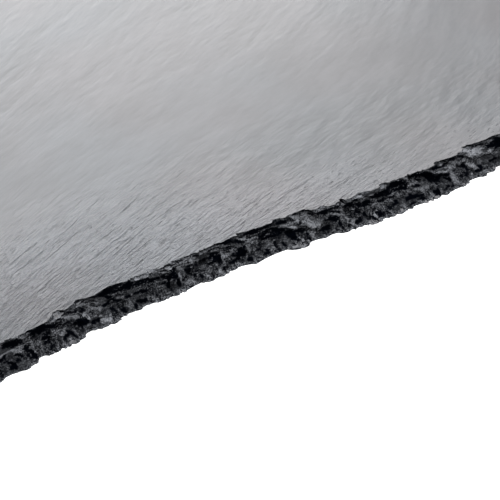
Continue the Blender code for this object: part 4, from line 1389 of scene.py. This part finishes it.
def chipped_edge(colours):
    """The broken edge, coloured with painted light and shade: near black where it is painted in shade, grey
    where it is painted as lit and partly powdered, darker on level faces low on the edge and lighter on the
    level ledges below the rim, as painted light. Its grain bends down across each chip, and turns upright
    at the foot."""
    maker = FinishMaker("chipped_edge")
    whole, x, y, z = maker.place()
    proud, upward, powder, bow = (
        maker.node("ShaderNodeAttribute", {"attribute_name": name}, output="Fac") for name in EDGE_LAYERS
    )
    leaves = (x, y, z + bow)
    low = z.between(*LOW_PART)
    patch = maker.drawn_out(leaves, (420, 420, 700), detail=3.0, roughness=0.6)
    leafy = maker.drawn_out(leaves, (300, 300, 2400), roughness=0.6)
    upright = maker.drawn_out((x, y, z), (1200, 1200, 420))
    grains = maker.noise(whole, scale=3600.0, roughness=0.7)
    strokes = leafy - 0.5 + (upright - leafy) * low * 0.8
    uneven = 0.4 + 1.1 * maker.noise(whole, scale=220.0).between(0.4, 0.6)
    mottle = (0.3 * (patch - 0.5) + 1.8 * strokes + 1.8 * (grains - 0.5)) * uneven
    splits = maker.drawn_out(leaves, (300, 300, 1500), detail=1.0) - 0.5
    seams = maker.drawn_out((x, y, z), (900, 900, 350), detail=1.0) - 0.5
    # Darker along the splits between leaves and along the seams: painted shade in the cracks
    outside_crack_shade = splits.maths("ABSOLUTE").between(0.0, 0.035) * seams.maths("ABSOLUTE").between(0.0, 0.03)
    # Less mottled where the edge is painted in shade
    shaded = powder.between(0.1, -1.1)
    # Level faces painted darker, and level ledges high on the edge lighter: painted shade and light
    normal = maker.node("ShaderNodeNewGeometry", output="True Normal")
    flat = maker.node("ShaderNodeSeparateXYZ", inputs={0: normal}, output="Z").between(0.80, 0.97)
    # Lighter where the edge faces up and on ribs, darker in hollows: painted light and shade. The light and
    # shade read from the mesh, partly powdered stone, set most of the grey
    level = 0.34 + 0.08 * upward + 0.06 * proud + 0.60 * powder + 0.9 * mottle * (1 - 0.1 * shaded)
    # Darker over the low part, and lighter in a grainy line along the foot, which is painted light
    level = level - 0.10 * low + 0.38 * z.between(*FOOT_LINE) * grains.between(0.35, 0.6)
    level = level - 0.16 * flat + 0.40 * (flat * z.between(*HIGH_LEDGES))
    level = level * (0.60 + 0.40 * outside_crack_shade)
    stone = maker.mix(level.clamped().maths("POWER", 2.0), colours.broken, colours.crushed_and_lit)
    # Painted glints on the lit, proud points
    painted_glints = grains.between(0.60, 0.70) * (powder + 0.3 * proud).between(0.7, 1.3)
    return maker.finish(
        Base_Color=maker.mix(painted_glints, stone, tinted(colours.crushed_and_lit, GLINT_LIGHT)),
        Roughness=0.62,
        Specular_IOR_Level=0.0,
        Normal=maker.bump(patch * 0.6 + leafy * 0.6 + grains * 0.25, EDGE_BUMP),
    )


def towards(azimuth, elevation):
    """A direction from its two angles in degrees."""
    azimuth, elevation = math.radians(azimuth), math.radians(elevation)
    level = math.cos(elevation)
    return Vector((math.sin(azimuth) * level, -math.cos(azimuth) * level, math.sin(elevation)))


class SLATE_OT_slab(bpy.types.Operator):
    """Builds the slab in place of its plain solid"""

    bl_idname = "slate.slab"
    bl_label = "Slab"

    def execute(self, context):
        sizes, colours = context.scene.slab_sizes, context.scene.slab_colours
        bm = SlabMaker(sizes).build()
        mesh = bpy.data.meshes.new("riven_slab")
        mesh.materials.append(split_face(colours, sizes))
        mesh.materials.append(chipped_edge(colours))
        for face in bm.faces:
            level = abs(face.normal.z) > LEVEL
            ledge = LEDGE_HEIGHTS[0] < face.calc_center_median().z < LEDGE_HEIGHTS[1]
            face.material_index = 0 if level and not ledge else 1
            face.smooth = True
        bm.to_mesh(mesh)
        bm.free()
        mesh.set_sharp_from_angle(angle=math.radians(SHARP_ANGLE))
        piece = bpy.data.objects.new("riven_slab", mesh)
        context.scene.collection.objects.link(piece)
        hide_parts(NODE)
        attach(piece, "root")
        return {"FINISHED"}


class SLATE_OT_stage(bpy.types.Operator):
    """Lays the floor and sets the lights and the camera"""

    bl_idname = "slate.stage"
    bl_label = "Stage"

    def execute(self, context):
        settings = context.scene.slab_stage
        self.lay_floor(context, settings)
        for name, lamp in LAMPS.items():
            self.hang_light(context, name, getattr(settings, name), lamp)
        world = bpy.data.worlds.new("studio")
        world.use_nodes = True
        world.node_tree.nodes["Background"].inputs["Color"].default_value = (1, 1, 1, 1)
        world.node_tree.nodes["Background"].inputs["Strength"].default_value = WORLD_STRENGTH
        context.scene.world = world
        context.scene.view_settings.view_transform = "Standard"
        self.set_camera(context)
        return {"FINISHED"}

    @staticmethod
    def lay_floor(context, settings):
        maker = FinishMaker("floor")
        bm = bmesh.new()
        bmesh.ops.create_grid(bm, x_segments=1, y_segments=1, size=FLOOR_HALF)
        mesh = bpy.data.meshes.new("floor")
        bm.to_mesh(mesh)
        bm.free()
        mesh.materials.append(maker.finish(Base_Color=(*settings.floor, 1.0), Roughness=FLOOR_ROUGHNESS))
        floor = bpy.data.objects.new("floor", mesh)
        context.scene.collection.objects.link(floor)

    @staticmethod
    def hang_light(context, name, power, lamp):
        data = bpy.data.lights.new(name, "AREA")
        data.energy = power
        data.shape = "RECTANGLE"
        data.size, data.size_y = lamp.size
        light = bpy.data.objects.new(name, data)
        away = towards(*lamp.direction)
        light.location = away * lamp.distance
        light.rotation_mode = "QUATERNION"
        light.rotation_quaternion = away.to_track_quat("Z", "Y")
        context.scene.collection.objects.link(light)

    @staticmethod
    def set_camera(context):
        back = towards(*VIEW_DIRECTION)
        camera = bpy.data.objects.new("camera", bpy.data.cameras.new("camera"))
        camera.data.sensor_fit = "HORIZONTAL"
        camera.data.angle = math.radians(VIEW_ANGLE)
        camera.data.clip_start = VIEW_START
        camera.location = Vector(VIEW_TARGET) + back * VIEW_DISTANCE
        camera.rotation_mode = "QUATERNION"
        camera.rotation_quaternion = (-back).to_track_quat("-Z", "Y")
        context.scene.collection.objects.link(camera)
        context.scene.camera = camera


class SLATE_PT_panel(bpy.types.Panel):
    """Lists the slab's settings and its makers"""

    bl_idname = "SLATE_PT_panel"
    bl_label = "Slate slab"
    bl_space_type = "VIEW_3D"
    bl_region_type = "UI"
    bl_category = "Slate"

    def draw(self, context):
        for group in (context.scene.slab_sizes, context.scene.slab_colours, context.scene.slab_stage):
            for name in group.__annotations__:
                self.layout.prop(group, name)
        self.layout.operator(SLATE_OT_slab.bl_idname)
        self.layout.operator(SLATE_OT_stage.bl_idname)


CLASSES = (SlabSizes, SlabColours, StageSettings, SLATE_OT_slab, SLATE_OT_stage, SLATE_PT_panel)


def register():
    for cls in CLASSES:
        bpy.utils.register_class(cls)
    bpy.types.Scene.slab_sizes = PointerProperty(type=SlabSizes)
    bpy.types.Scene.slab_colours = PointerProperty(type=SlabColours)
    bpy.types.Scene.slab_stage = PointerProperty(type=StageSettings)


def unregister():
    del bpy.types.Scene.slab_stage
    del bpy.types.Scene.slab_colours
    del bpy.types.Scene.slab_sizes
    for cls in reversed(CLASSES):
        bpy.utils.unregister_class(cls)


def main():
    register()
    bpy.ops.slate.slab()
    bpy.ops.slate.stage()


if __name__ == "__main__":
    main()
